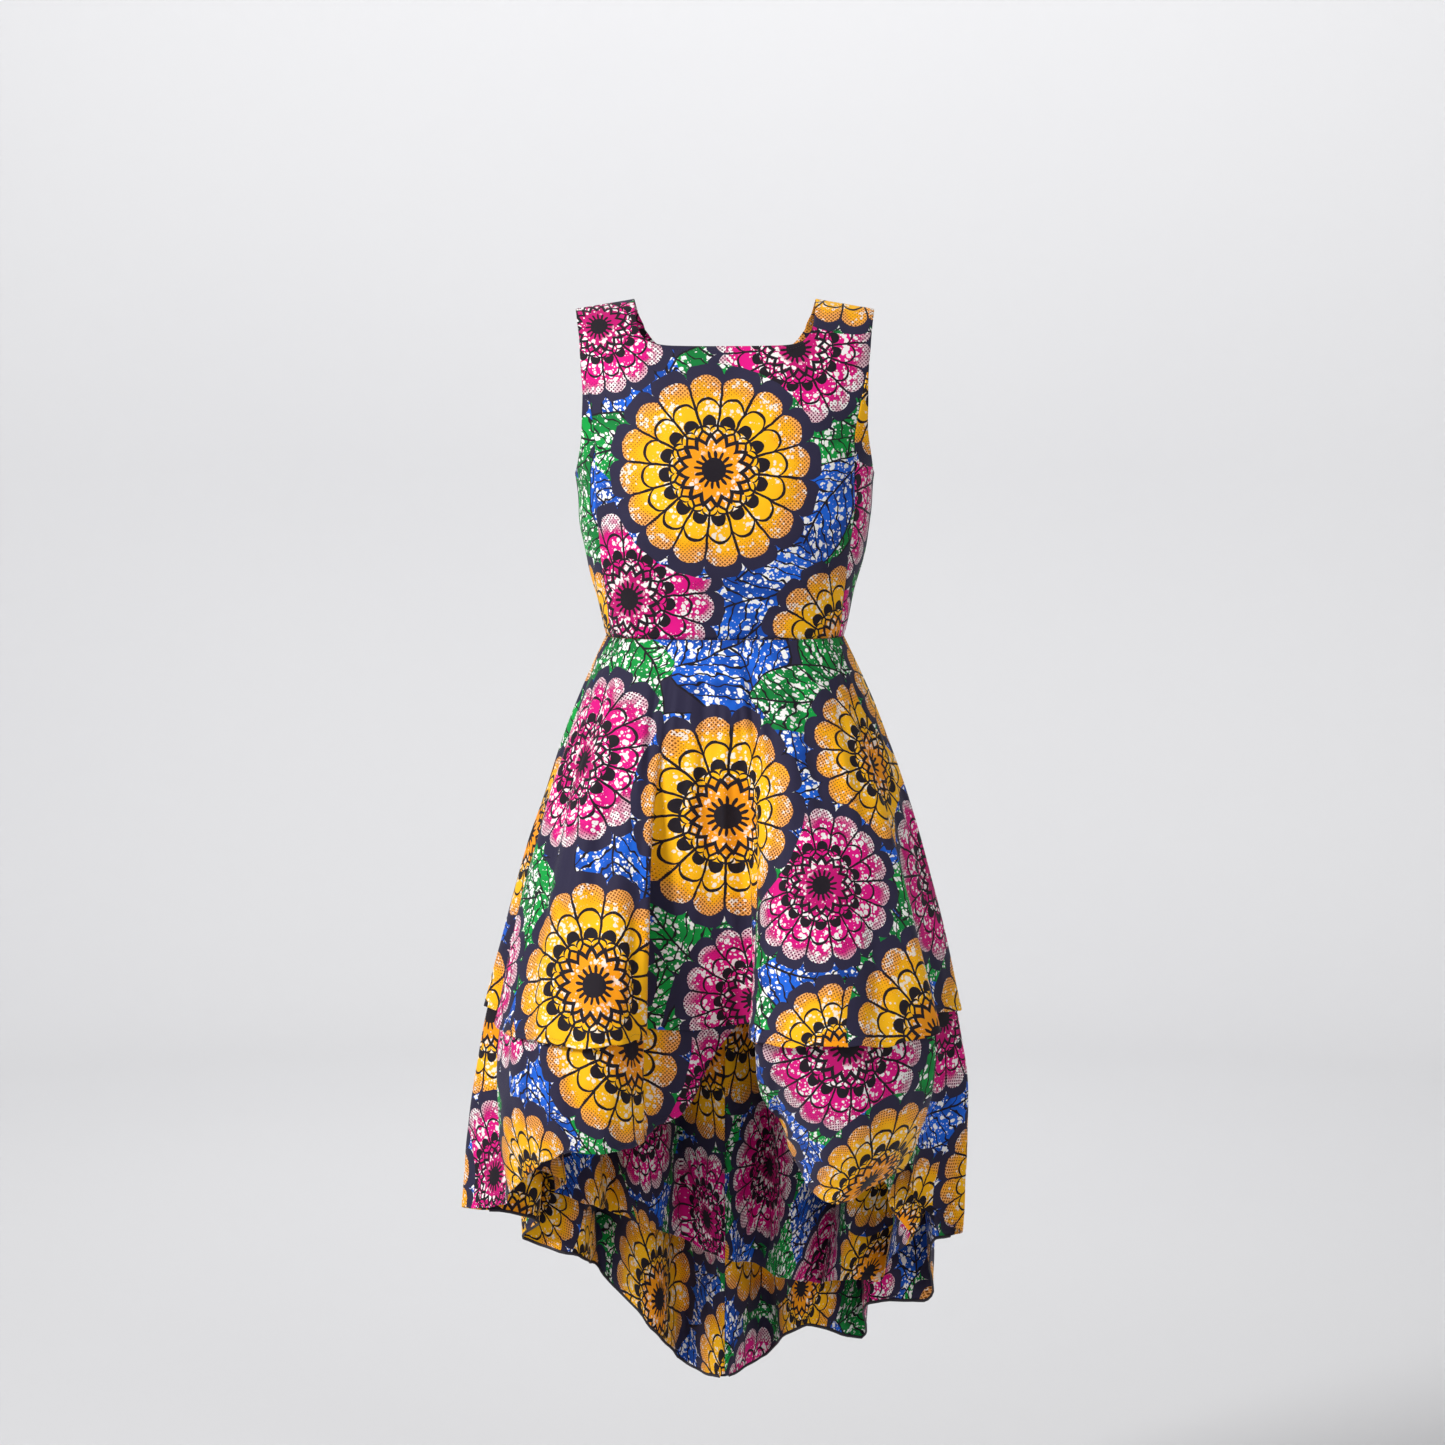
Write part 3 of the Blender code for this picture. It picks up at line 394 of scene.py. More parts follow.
# Thread and zip
STITCH_PROBE = 0.3
Stitch = namedtuple("Stitch", "length width height")
HEM_STITCH = Stitch(0.0024, 0.0006, 0.00035)
EDGE_STITCH = Stitch(0.0022, 0.0005, 0.0003)
HEM_ROLL_HALF_HEIGHT = 0.0012
HEM_ROLL_HALF_WIDTH = 0.0019
HEM_ROLL_DEPTH = 0.0006
TAPE_EDGE_WIDTH = 0.0004
TAPE_CURVE_DEGREE = 7
COIL_TOP_GAP = 0.002
COIL_FOOT_GAP = 0.004
COIL_OFFSET = 0.0005
COIL_REACH = 0.0015
COIL_STAND = 0.0006
COIL_FULLNESS = 0.42

# Camera, as the photograph was taken, and the studio
CAMERA_PLACE = (-0.0028, -3.8, -0.168)
CAMERA_PITCH = math.radians(4.59)
CAMERA_LENS = 84.5
FLOOR_LEVEL = -1.62
BOWL_FLOOR = 4.4
BOWL_BEND = 1.4
BOWL_TOP = 3.4
ROOM_GLOW = 0.14
Light = namedtuple("Light", "name place aim size power")
LIGHTS = (
    Light("key_left", (-3.4, -2.9, 1.8), (0, 0, -0.5), 1.1, 226),
    Light("fill_right", (2.6, -4.2, 0.7), (0, 0, -0.6), 1.3, 32),
    Light("top", (0.0, -0.6, 3.0), (0, 0.2, -0.6), 3.0, 30),
    Light("wall_wash", (0.0, 2.4, 3.0), (0, 6.0, -0.6), 3.0, 160),
)


def through(rows, place, closed=False):
    """Read a smooth Catmull-Rom curve through the rows; a place is a row number and its fraction."""
    rows = np.asarray(rows, float)
    place = np.asarray(place, float)
    count = len(rows)
    if closed:
        first = np.floor(place).astype(int)
        near = [rows[(first + step) % count] for step in (-1, 0, 1, 2)]
    else:
        first = np.clip(np.floor(place).astype(int), 0, count - 2)
        start = 2 * rows[:1] - rows[1:2]
        end = 2 * rows[-1:] - rows[-2:-1]
        padded = np.concatenate([start, rows, end])
        near = [padded[first + step] for step in (0, 1, 2, 3)]
    t = (place - first)[..., None]
    before, here, there, after = near
    return 0.5 * (
        2 * here
        + (there - before) * t
        + (2 * before - 5 * here + 4 * there - after) * t**2
        + (3 * here - before - 3 * there + after) * t**3
    )


def smooth_step(low, high, value):
    """Rise gently from 0 at low to 1 at high."""
    share = np.clip((value - low) / (high - low), 0.0, 1.0)
    return share * share * (3 - 2 * share)


def section_at(place):
    """The bodice's height, half width, front depth and back depth at a section-row place."""
    values = through([tuple(row) for row in BODICE_SECTIONS], place)
    return [values[..., column] for column in range(values.shape[-1])]


SECTION_PLACES = np.linspace(0, len(BODICE_SECTIONS) - 1, SECTION_SAMPLES)
SECTION_HEIGHTS = np.maximum.accumulate(section_at(SECTION_PLACES)[0])


def place_of(height):
    """The section-row place of a height."""
    return np.interp(height, SECTION_HEIGHTS, SECTION_PLACES)


def bodice_point(turn, place, side):
    """A point of the bodice's outer face, half width times the sine of the turn across and depth times
    its cosine forwards; side is -1 front, +1 back."""
    height, half_width, front, back = section_at(place.ravel())
    shape = place.shape
    height, half_width = height.reshape(shape), half_width.reshape(shape)
    depth = (front if side < 0 else back).reshape(shape)
    x = half_width * np.sin(turn)
    y = depth * np.cos(turn) * (1 + FLATNESS * np.sin(turn) ** 2)
    y = side * np.maximum(y, 0.0)
    slope = SHOULDER_SLOPE * smooth_step(SHOULDER_SLOPE_START, 0.0, height)
    z = height - slope * np.maximum(np.abs(x) - NECK_HALF_WIDTH, 0.0)
    z = z + HALF_GAP * (1 - smooth_step(0.0, WAIST_GAP_END, place))
    return np.stack([x, y, z], axis=-1)


def edge_turn(edges, place):
    """The turn at which an edge, a list of heights and distances, is met at a section-row place."""
    height, half_width, _, _ = section_at(place)
    reach = np.interp(height, [edge.height for edge in edges], [edge.x for edge in edges])
    return np.arcsin(np.clip(reach / half_width, -1, 1))


def boundary(edges):
    """An edge's rows as section-row places and turns from the centre line."""
    places = place_of(np.array([edge.height for edge in edges]))
    half_widths = section_at(places)[1]
    turns = []
    for edge, half_width in zip(edges, half_widths):
        turns.append(math.pi / 2 if edge.x is None else math.asin(edge.x / half_width))
    return places, np.array(turns)


def climb(*stages):
    """Section-row places up a column: stages of a top place and the rows that lead up to it."""
    places = [0.0]
    for top, rows in stages:
        places += list(np.linspace(places[-1], top, rows + 1)[1:])
    return np.array(places)


def between(first, last, count):
    """Columns spread evenly from the first column to the last, both left in."""
    share = np.linspace(0, 1, count + 1)
    return first[:, None] * (1 - share) + last[:, None] * share


def neck_columns(edges, neck_place, neck_turn):
    """Columns from the centre line to the neck's side, which end on the neckline."""
    places, turns = boundary(edges)
    up = neck_place[:, None] / neck_place[-1]
    share = np.linspace(0, 1, len(edges)) * (1 - up) + turns / turns[-1] * up
    return up * places, share * neck_turn[:, None]


def finer(values):
    """A coarse grid read on smooth curves between its rows, and then between its columns."""
    for axis in (0, 1):
        moved = np.moveaxis(values, axis, 0)
        places = np.arange((len(moved) - 1) * BODICE_FINENESS + 1) / BODICE_FINENESS
        values = np.moveaxis(through(moved, places), 0, axis)
    return values


def blank_grid(rows, columns):
    """A fine grid of points that aren't there yet, for a coarse one of these rows and columns."""
    fine = BODICE_FINENESS
    return np.full(((rows - 1) * fine + 1, (columns - 1) * fine + 1, 3), np.nan)


def put_block(grid, column, place, turn, side):
    """Work out a coarse block of places and turns finely, and set it in the grid from a coarse column."""
    block = bodice_point(finer(turn), finer(place), side)
    start = column * BODICE_FINENESS
    grid[:block.shape[0], start:start + block.shape[1]] = block


def mirrored(points):
    """A grid's mirror image across the centre plane."""
    return points * np.array([-1, 1, 1])


def bodice_front_grid():
    """The front: neck, straps and princess edges, with its right half mirrored to its left."""
    top = len(BODICE_SECTIONS) - 1
    seam_place = climb((SIDE_ROWS, SIDE_ROWS), (top, STRAP_ROWS))
    seam_turn = edge_turn(PRINCESS_SEAM, seam_place)
    neck_top = place_of(FRONT_NECK[-1].height)
    side_place = climb((neck_top, SIDE_ROWS), (top, STRAP_ROWS))
    side_turns = edge_turn(NECK_SIDE, side_place)
    below = slice(0, SIDE_ROWS + 1)
    neck_place, neck_turn = neck_columns(FRONT_NECK, side_place[below], side_turns[below])
    half = blank_grid(len(seam_place), len(FRONT_NECK) + STRAP_COLUMNS)
    put_block(half, 0, neck_place, neck_turn, -1)
    strap_place = between(side_place, seam_place, STRAP_COLUMNS)
    strap_turn = between(side_turns, seam_turn, STRAP_COLUMNS)
    put_block(half, len(FRONT_NECK) - 1, strap_place, strap_turn, -1)
    return np.concatenate([mirrored(half[:, :0:-1]), half], axis=1)


def bodice_side_grid():
    """The right side front, from the princess seam to the side seam, under the armhole."""
    top_places, turns = boundary(FRONT_ARMHOLE)
    seam = edge_turn(PRINCESS_SEAM, top_places)
    top_shares = (turns - seam) / (math.pi / 2 - seam)
    top_shares[0] = 0.0
    up = np.linspace(0, 1, SIDE_ROWS + 1)[:, None]
    place = up * top_places[None, :]
    share = np.linspace(0, 1, len(top_shares)) * (1 - up) + top_shares * up
    inner = edge_turn(PRINCESS_SEAM, place.ravel()).reshape(place.shape)
    turn = inner + share * (math.pi / 2 - inner)
    grid = blank_grid(*place.shape)
    put_block(grid, 0, place, turn, -1)
    return grid


def bodice_back_grid():
    """The right back, from the centre-back slit to the side seam, with neck, strap and armhole."""
    top = len(BODICE_SECTIONS) - 1
    underarm = place_of(UNDERARM_LEVEL)
    low = place_of(UNDERARM_LOW)
    neck_top = place_of(BACK_NECK[-1].height)
    strap_start = place_of(STRAP_START)
    arm_place = climb((underarm, SIDE_ROWS), (strap_start, CHEST_ROWS), (top, STRAP_ROWS))
    arm_turn = edge_turn(BACK_ARMHOLE_SIDE, arm_place)
    side_place = climb((underarm, SIDE_ROWS), (neck_top, CHEST_ROWS), (top, STRAP_ROWS))
    side_turns = edge_turn(BACK_NECK_SIDE, side_place)
    below_neck = slice(0, SIDE_ROWS + CHEST_ROWS + 1)
    below_arm = slice(0, SIDE_ROWS + 1)
    neck_place, neck_turn = neck_columns(BACK_NECK, side_place[below_neck], side_turns[below_neck])
    share = np.linspace(0, 1, UNDERARM_COLUMNS + 1)
    dip = underarm + (low - underarm) * (1 - (1 - share) ** 2)
    under_place = arm_place[below_arm, None] / underarm * dip
    under_turn = arm_turn[below_arm, None] * (1 - share) + math.pi / 2 * share
    first_strap = len(BACK_NECK) - 1
    last_strap = first_strap + STRAP_COLUMNS
    grid = blank_grid(len(arm_place), last_strap + UNDERARM_COLUMNS + 1)
    put_block(grid, 0, neck_place, neck_turn, 1)
    put_block(grid, last_strap, under_place, under_turn, 1)
    strap_place = between(side_place, arm_place, STRAP_COLUMNS)
    strap_turn = between(side_turns, arm_turn, STRAP_COLUMNS)
    put_block(grid, first_strap, strap_place, strap_turn, 1)
    closed = smooth_step(SLIT_CLOSED, SLIT_OPEN, grid[:, 0, 2])
    grid[:, 0, 0] = HALF_GAP + closed * (SLIT_HALF_WIDTH - HALF_GAP)
    return grid


def waist_point(turn):
    """The waist ring's plan place at a turn from the centre front."""
    waist = BODICE_SECTIONS[0]
    depth = np.where(np.cos(turn) > 0, waist.front, waist.back)
    x = waist.half_width * np.sin(turn)
    y = -depth * np.cos(turn) * (1 + FLATNESS * np.sin(turn) ** 2)
    return np.stack([x, y], axis=-1)


def flare(share):
    """How far the cloth has swung out from the waist, 1 at the overlay's hem, easing below it."""
    quick, slowing, settling = FLARE_CURVE
    above = share * (quick + slowing * share + settling * share**2)
    slope = quick + 2 * slowing + 3 * settling
    below = 1 + slope / FLARE_EASE * (1 - np.exp(FLARE_EASE * (1 - share)))
    return np.where(share <= 1, above, below)


def relief(share):
    """How deep the folds are, 1 at the overlay's hem, easing below it."""
    above = np.maximum(share, 0.0) ** RELIEF_POWER
    below = 1 + RELIEF_POWER / RELIEF_EASE * (1 - np.exp(RELIEF_EASE * (1 - share)))
    return np.where(share <= 1, above, below)


def fold_rows(*names):
    """The named columns of the fold table, as rows of numbers."""
    return [[getattr(fold, name) for name in names] for fold in FOLDS]


def overlay_plan(fold_place, drop):
    """Plan place of the overlay's outer face: the waist's own place, moved by the flare towards the mean
    hem ellipse and by the relief towards the folds of the hem."""
    turns = np.radians([fold.turn for fold in FOLDS])
    count = len(FOLDS)
    wander = turns - np.linspace(-math.pi, math.pi, count + 1)[:-1]
    steady = -math.pi + TURN * fold_place / count
    turn = steady + through(wander[:, None], fold_place, closed=True)[..., 0]
    hem = through(fold_rows("overlay_x", "overlay_y"), fold_place, closed=True)
    mean = np.stack([FLARE_HALF_WIDTH * np.sin(turn), -FLARE_DEPTH * np.cos(turn)], axis=-1)
    share = (drop / OVERLAY_DROP)[..., None]
    waist = waist_point(turn)
    return waist + flare(share) * (mean - waist) + relief(share) * (hem - mean)


def nested_plan(fold_place, drop, inward):
    """The overlay's plan moved inwards by a distance, square to the cloth."""
    ahead = overlay_plan(fold_place + PROBE_STEP, drop)
    behind = overlay_plan(fold_place - PROBE_STEP, drop)
    along = ahead - behind
    length = np.linalg.norm(along, axis=-1, keepdims=True)
    outward = np.stack([along[..., 1], -along[..., 0]], axis=-1) / length
    return overlay_plan(fold_place, drop) - outward * inward[..., None]


def layer_inset(depth, drop):
    """How far inside the overlay a layer lies: a step at the waist, more room below."""
    share = np.minimum(drop / OVERLAY_DROP, 1.0)
    return depth * (LAYER_STEP + LAYER_SPREAD * share**SPREAD_POWER)


def layer_points(fold_place, drop, layer):
    """Points of one skirt layer's outer face: the overlay's folds, and below them the layer's own."""
    inset = layer_inset(layer.depth, drop)
    plan = nested_plan(fold_place, drop, inset)
    kind = layer.kind
    if kind != "overlay":
        hem = through(fold_rows(kind + "_x", kind + "_y", kind + "_drop"), fold_place, closed=True)
        full_drop = np.maximum(hem[..., 2], SWING_LEAST_DROP)
        rest = nested_plan(fold_place, full_drop, layer_inset(layer.depth, full_drop))
        reach = np.clip((drop - SWING_START) / (full_drop - SWING_START), 0, 1) ** SWING_POWER
        plan = plan + reach[..., None] * (hem[..., :2] - rest)
    z = WAIST_LEVEL - HALF_GAP - drop
    return np.concatenate([plan, z[..., None]], axis=-1)


def wave_sum(waves, fold_place, drop):
    """A sum of sines that close up round the skirt."""
    total = np.zeros_like(fold_place)
    for wave in waves:
        phase = wave.round * fold_place / len(FOLDS) + wave.down * drop
        total = total + wave.height * np.sin(TURN * phase + wave.start)
    return total


def skirt_relief(fold_place, drop):
    """How far the skirt's cloth stands out: its creases, each a bell across that rises and fades along
    its length, and its waves, which start below the waist seam."""
    total = wave_sum(SKIRT_WAVES, fold_place, drop) * smooth_step(0.0, WAVES_START, drop)
    total = total + wave_sum(WAIST_PUCKERS, fold_place, drop) * np.exp(-drop / PUCKER_REACH)
    count = len(FOLDS)
    for crease in SKIRT_CREASES:
        along = (drop - crease.start) / (crease.end - crease.start)
        middle = crease.fold_place + crease.lean * along
        off = (fold_place - middle + count / 2) % count - count / 2
        bell = np.exp(-((off / crease.width) ** 2))
        fade = smooth_step(0, CREASE_RISE, along) * (1 - smooth_step(CREASE_FALL, 1, along))
        total = total + crease.depth * bell * fade
    groove = WAIST_GROOVE * np.exp(-((drop / WAIST_GROOVE_WIDTH) ** 2))
    return total - groove


def hem_relief(rise):
    """How far the doubled hem stands out, by the distance up from its edge, with its stitched line."""
    doubled = HEM_DOUBLING * (1 - smooth_step(*HEM_END, rise))
    return doubled - HEM_LINE_DEPTH * np.exp(-(((rise - HEM_LINE_HEIGHT) / HEM_LINE_WIDTH) ** 2))


def cell_crosses(points):
    """The cross of each grid cell's diagonals, which points out of the cell by twice its area."""
    rising = points[1:, 1:] - points[:-1, :-1]
    falling = points[1:, :-1] - points[:-1, 1:]
    return np.nan_to_num(np.cross(rising, falling))


def grid_normals(points, outward):
    """Unit normals of a grid, outwards on the whole: at each point the sum of its cells' crosses."""
    cell = cell_crosses(points)
    total = np.zeros_like(points)
    total[:-1, :-1] += cell
    total[:-1, 1:] += cell
    total[1:, :-1] += cell
    total[1:, 1:] += cell
    length = np.linalg.norm(total, axis=-1, keepdims=True)
    normals = total / np.maximum(length, 1e-12)
    if np.dot(cell.sum(axis=(0, 1)), outward) < 0:
        normals = -normals
    return normals


def running_length(points, axis):
    """Distance covered along a grid's rows (axis 1) or columns (axis 0), 0 at its start."""
    step = np.linalg.norm(np.diff(points, axis=axis), axis=-1)
    step = np.nan_to_num(step)
    start = np.zeros_like(np.take(step, [0], axis=axis))
    return np.concatenate([start, np.cumsum(step, axis=axis)], axis=axis)


ClothPiece = namedtuple("ClothPiece", "name points normals cut")


def laid_on_print(name, cut):
    """A panel's cut, turned and moved to where it was laid on the printed cloth."""
    lay = LAYS[name]
    cos, sin = math.cos(lay.turn), math.sin(lay.turn)
    u = cut[..., 0] * cos - cut[..., 1] * sin + lay.u
    v = cut[..., 0] * sin + cut[..., 1] * cos + lay.v
    return np.stack([u, v], axis=-1)


def seam_distance(points, columns):
    """The least distance along the rows to the seam columns, first (0) or last (-1)."""
    run = running_length(points, 1)
    least = np.full(points.shape[:2], np.inf)
    if 0 in columns:
        least = np.minimum(least, run)
    if -1 in columns:
        least = np.minimum(least, run[:, -1:] - run)
    return least


def bodice_relief(points, side, seams):
    """How far the bodice's cloth stands out: its pulls, its waves and the grooves at its seams."""
    x, z = points[..., 0], points[..., 2]
    total = np.zeros_like(x)
    for pull in BODICE_PULLS:
        if pull.side != side:
            continue
        along = np.array([pull.end_x - pull.x, pull.end_height - pull.height])
        length = np.linalg.norm(along)
        along = along / length
        share = ((x - pull.x) * along[0] + (z - pull.height) * along[1]) / length
        off = (x - pull.x) * along[1] - (z - pull.height) * along[0]
        bell = np.exp(-((off / pull.width) ** 2)) * np.exp(-((share - 0.5) ** 4) * PULL_ENDS)
        total = total + pull.depth * bell
    for across, up, start, height in BODICE_WAVES:
        total = total + height * np.sin(TURN * (across * x + up * z) * BODICE_WAVE_SPACING + start)
    total = total * smooth_step(0.0, CALM_SHOULDER, z)
    rise = z - WAIST_LEVEL
    total = total - WAIST_GROOVE * np.exp(-((rise / WAIST_GROOVE_WIDTH) ** 2))
    groove = np.exp(-((seam_distance(points, seams) / SEAM_GROOVE_WIDTH) ** 2))
    return total - SEAM_GROOVE * groove


def bodice_cut(points, side):
    """The flat cut of a bodice panel: across, the length of its level's section from the centre line, and
    up, the length of the bodice's profile from the waist."""
    present = ~np.isnan(points[..., 0])
    x, z = points[present][:, 0], points[present][:, 2]
    place = place_of(np.minimum(z, 0.0))
    _, half_width, front, back = section_at(place)
    depth = front if side < 0 else back
    turn = np.arcsin(np.clip(np.abs(x) / half_width, 0, 1))
    turns = turn[:, None] * np.linspace(0, 1, CUT_SAMPLES)
    ring_x = half_width[:, None] * np.sin(turns)
    ring_y = depth[:, None] * np.cos(turns) * (1 + FLATNESS * np.sin(turns) ** 2)
    across = np.hypot(np.diff(ring_x, axis=1), np.diff(ring_y, axis=1)).sum(axis=1)
    height, _, front, back = section_at(SECTION_PLACES)
    profile = np.stack([height, PROFILE_DEPTH_SHARE * (front if side < 0 else back)], axis=-1)
    up = np.interp(place, SECTION_PLACES, running_length(profile[None], 1)[0])
    cut = np.full(points.shape[:2] + (2,), np.nan)
    cut[present] = np.stack([np.sign(x) * across, up], axis=-1)
    return cut


@lru_cache(maxsize=None)
def bodice_piece(name):
    """One panel of the bodice as points, normals and its place on the printed cloth."""
    side = -1
    if name == "bodice_front":
        grid = bodice_front_grid()
        outward = (0, -1, 0)
        seams = (0, -1)
    elif name.startswith("bodice_side"):
        grid = bodice_side_grid()
        outward = (1, -0.5, 0)
        seams = (0, -1)
    else:
        grid = bodice_back_grid()
        outward = (0.3, 1, 0)
        side = 1
        seams = (-1,)
    if name.endswith("left"):
        grid = mirrored(grid)
        outward = (-outward[0], outward[1], outward[2])
    normals = grid_normals(grid, outward)
    cut = bodice_cut(grid, side)
    points = grid + normals * bodice_relief(grid, side, seams)[..., None]
    return ClothPiece(name, points, grid_normals(points, outward), cut)


def sector_cut(fold_place, points, layer):
    """The flat cut of a skirt panel: a sector of a ring, whose radius is the waist's own plus the distance
    down the cloth, and whose angle is the share of the way round the panel at the overlay's hem."""
    waist = layer_points(fold_place, np.zeros_like(fold_place), layer)
    ring = layer_points(fold_place, np.full_like(fold_place, OVERLAY_DROP), layer)
    waist_run = running_length(waist[None], 1)[0]
    ring_run = running_length(ring[None], 1)[0]
    slant = np.linalg.norm(ring - waist, axis=-1).mean()
    angle = (ring_run[-1] - waist_run[-1]) / slant
    radius = waist_run[-1] / angle + running_length(points, 0)
    around = (ring_run / ring_run[-1] - 0.5) * angle
    u = radius * np.sin(around)
    v = waist_run[-1] / angle - radius * np.cos(around)
    return np.stack([u, v], axis=-1)


@lru_cache(maxsize=None)
def skirt_piece(kind, part):
    """One panel of a skirt layer as points, normals and its flat cut."""
    layer = LAYERS[kind]
    first, last = PARTS[part]
    columns = int(round((last - first) * COLUMNS_A_FOLD)) + 1
    step = (last - first) / (columns - 1)
    own = slice(1, -1)
    fold_place = np.linspace(first - step, last + step, columns + 2)
    if kind == "overlay":
        hem_drop = np.full(columns + 2, OVERLAY_DROP)
    else:
        hem_drop = through(fold_rows(kind + "_drop"), fold_place, closed=True)[..., 0]
    nothing = np.zeros(columns + 2)
    hem_drop = hem_drop + wave_sum(HEM_WOBBLE, fold_place, nothing) - HEM_LIFT
    share = np.linspace(0, 1, layer.rows + 1)[:-1, None] ** ROW_CROWDING
    upper = share * (hem_drop - HEM_STEPS_HEIGHT)
    lower = hem_drop - np.array(HEM_STEPS)[:, None]
    drop = np.concatenate([upper, lower])
    places = np.broadcast_to(fold_place, drop.shape)
    grid = layer_points(places, drop, layer)
    middle = grid[len(grid) // 3, columns // 2]
    outward = np.array([middle[0], middle[1], 0])
    normals = grid_normals(grid, outward)
    amount = skirt_relief(places, drop)
    if kind != "overlay":
        loose = smooth_step(*LOOSENING, drop)
        amount = amount * (1 - LOOSE_CALM * loose) + wave_sum(LOOSE_WAVES, places, drop) * loose
    if kind == "inner":
        front = smooth_step(*CLEARED_FRONT, 0.5 - 0.5 * np.cos(TURN * places / len(FOLDS)))
        back = (1 - front) * (1 - smooth_step(*CLEARED_BACK, drop))
        inwards = INNER_CLEARANCE.front * front + INNER_CLEARANCE.back * back
        amount = amount - inwards * smooth_step(*CLEARANCE_START, drop)
    amount = amount + hem_relief(hem_drop - drop)
    groove = np.exp(-((seam_distance(grid[:, own], (0, -1)) / SEAM_GROOVE_WIDTH) ** 2))
    amount[:, own] -= SEAM_GROOVE * groove
    points = grid + normals * amount[..., None]
    normals = grid_normals(points, outward)[:, own]
    points = points[:, own]
    cut = sector_cut(fold_place[own], points, layer)
    return ClothPiece(kind + "_" + part, points, normals, cut)


def grid_faces(points, outward):
    """The four-sided faces of a grid whose corners are all there, turned to face outwards."""
    rows, columns = points.shape[:2]
    present = ~np.isnan(points[:, :, 0])
    number = np.cumsum(present).reshape(rows, columns) - 1
    corners = (number[:-1, :-1], number[:-1, 1:], number[1:, 1:], number[1:, :-1])
    whole = present[:-1, :-1] & present[:-1, 1:] & present[1:, 1:] & present[1:, :-1]
    faces = np.stack([corner[whole] for corner in corners], axis=1)
    if np.dot(cell_crosses(points).sum(axis=(0, 1)), outward) < 0:
        faces = faces[:, ::-1]
    return present, faces


def add_mesh(name, corners, faces, material):
    """Make a smooth mesh object at the origin, linked to the scene, from corners and a list of faces."""
    mesh = bpy.data.meshes.new(name)
    mesh.from_pydata(corners.tolist(), [], faces)
    mesh.materials.append(material)
    mesh.shade_smooth()
    piece = bpy.data.objects.new(name, mesh)
    bpy.context.scene.collection.objects.link(piece)
    return piece


def cut_area(present, cut, faces):
    """The area of the flat cut, half the cross of each face's diagonals."""
    flat = cut[present][faces]
    first = flat[:, 2] - flat[:, 0]
    second = flat[:, 3] - flat[:, 1]
    return float(np.abs(first[:, 0] * second[:, 1] - first[:, 1] * second[:, 0]).sum() / 2)


def add_panel(piece, wall):
    """Make a cloth panel that stands for its solid: a thin shell grown inwards from the outer face."""
    present, faces = grid_faces(piece.points, np.nansum(piece.normals, axis=(0, 1)))
    layout = LAYS[piece.name].layout
    material = printed_cotton(layout)
    panel = add_mesh("cloth_" + piece.name, piece.points[present], faces.tolist(), material)
    mesh = panel.data
    corner = np.empty(len(mesh.loops), int)
    mesh.loops.foreach_get("vertex_index", corner)
    laid = laid_on_print(piece.name, piece.cut)[present]
    mesh.uv_layers.new(name="cut").data.foreach_set("uv", laid[corner].ravel())
    shell = panel.modifiers.new("wall", "SOLIDIFY")
    shell.thickness = wall
    shell.offset = -1
    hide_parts(piece.name)
    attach(panel, "dress")
    area = round(cut_area(present, piece.cut, faces), 4)


def read_line(line, distances):
    """Points along a line at distances from its start."""
    run = running_length(line[None], 1)[0]
    return np.stack([np.interp(distances, run, line[:, axis]) for axis in range(3)], axis=-1)


def lozenge_mesh(corners):
    """Corners and faces of a row of lozenges, each of two ends, two sides, a top and a foot."""
    lozenge = np.array([
        (0, 2, 4), (2, 1, 4), (1, 3, 4), (3, 0, 4),
        (2, 0, 5), (1, 2, 5), (3, 1, 5), (0, 3, 5),
    ])
    faces = (np.arange(len(corners))[:, None, None] * 6 + lozenge).reshape(-1, 3)
    corners = corners.reshape(-1, 3)
    solid = corners[faces] - corners[0]
    volume = np.einsum("ij,ij->i", solid[:, 0], np.cross(solid[:, 1], solid[:, 2])).sum()
    if volume < 0:
        faces = faces[:, ::-1]
    return corners, faces.tolist()


def stitch_corners(line, normals, pitch, stitch):
    """Lozenges along a line: their ends lie on it, their sides half a width off it, and their top stands
    above it and their foot below."""
    run = running_length(line[None], 1)[0]
    middle = np.arange(pitch / 2, run[-1], pitch)
    place = read_line(line, middle)
    up = np.stack([np.interp(middle, run, normals[:, axis]) for axis in range(3)], axis=-1)
    reach = STITCH_PROBE * stitch.length
    along = read_line(line, middle + reach) - read_line(line, middle - reach)
    along /= np.maximum(np.linalg.norm(along, axis=-1, keepdims=True), 1e-9)
    across = np.cross(up, along)
    ends = [place - along * stitch.length / 2, place + along * stitch.length / 2]
    sides = [place - across * stitch.width / 2, place + across * stitch.width / 2]
    top = [place + up * stitch.height, place - up * stitch.height * 0.5]
    return np.stack(ends + sides + top, axis=1)


def add_stitches(name, lines, material, pitch, stitch):
    """One piece of thread: all the stitches of a group of seams, given as lines of points and normals."""
    corners = np.concatenate([stitch_corners(line, normals, pitch, stitch) for line, normals in lines])
    thread = add_mesh(name, *lozenge_mesh(corners), material)
    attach(thread, "dress")


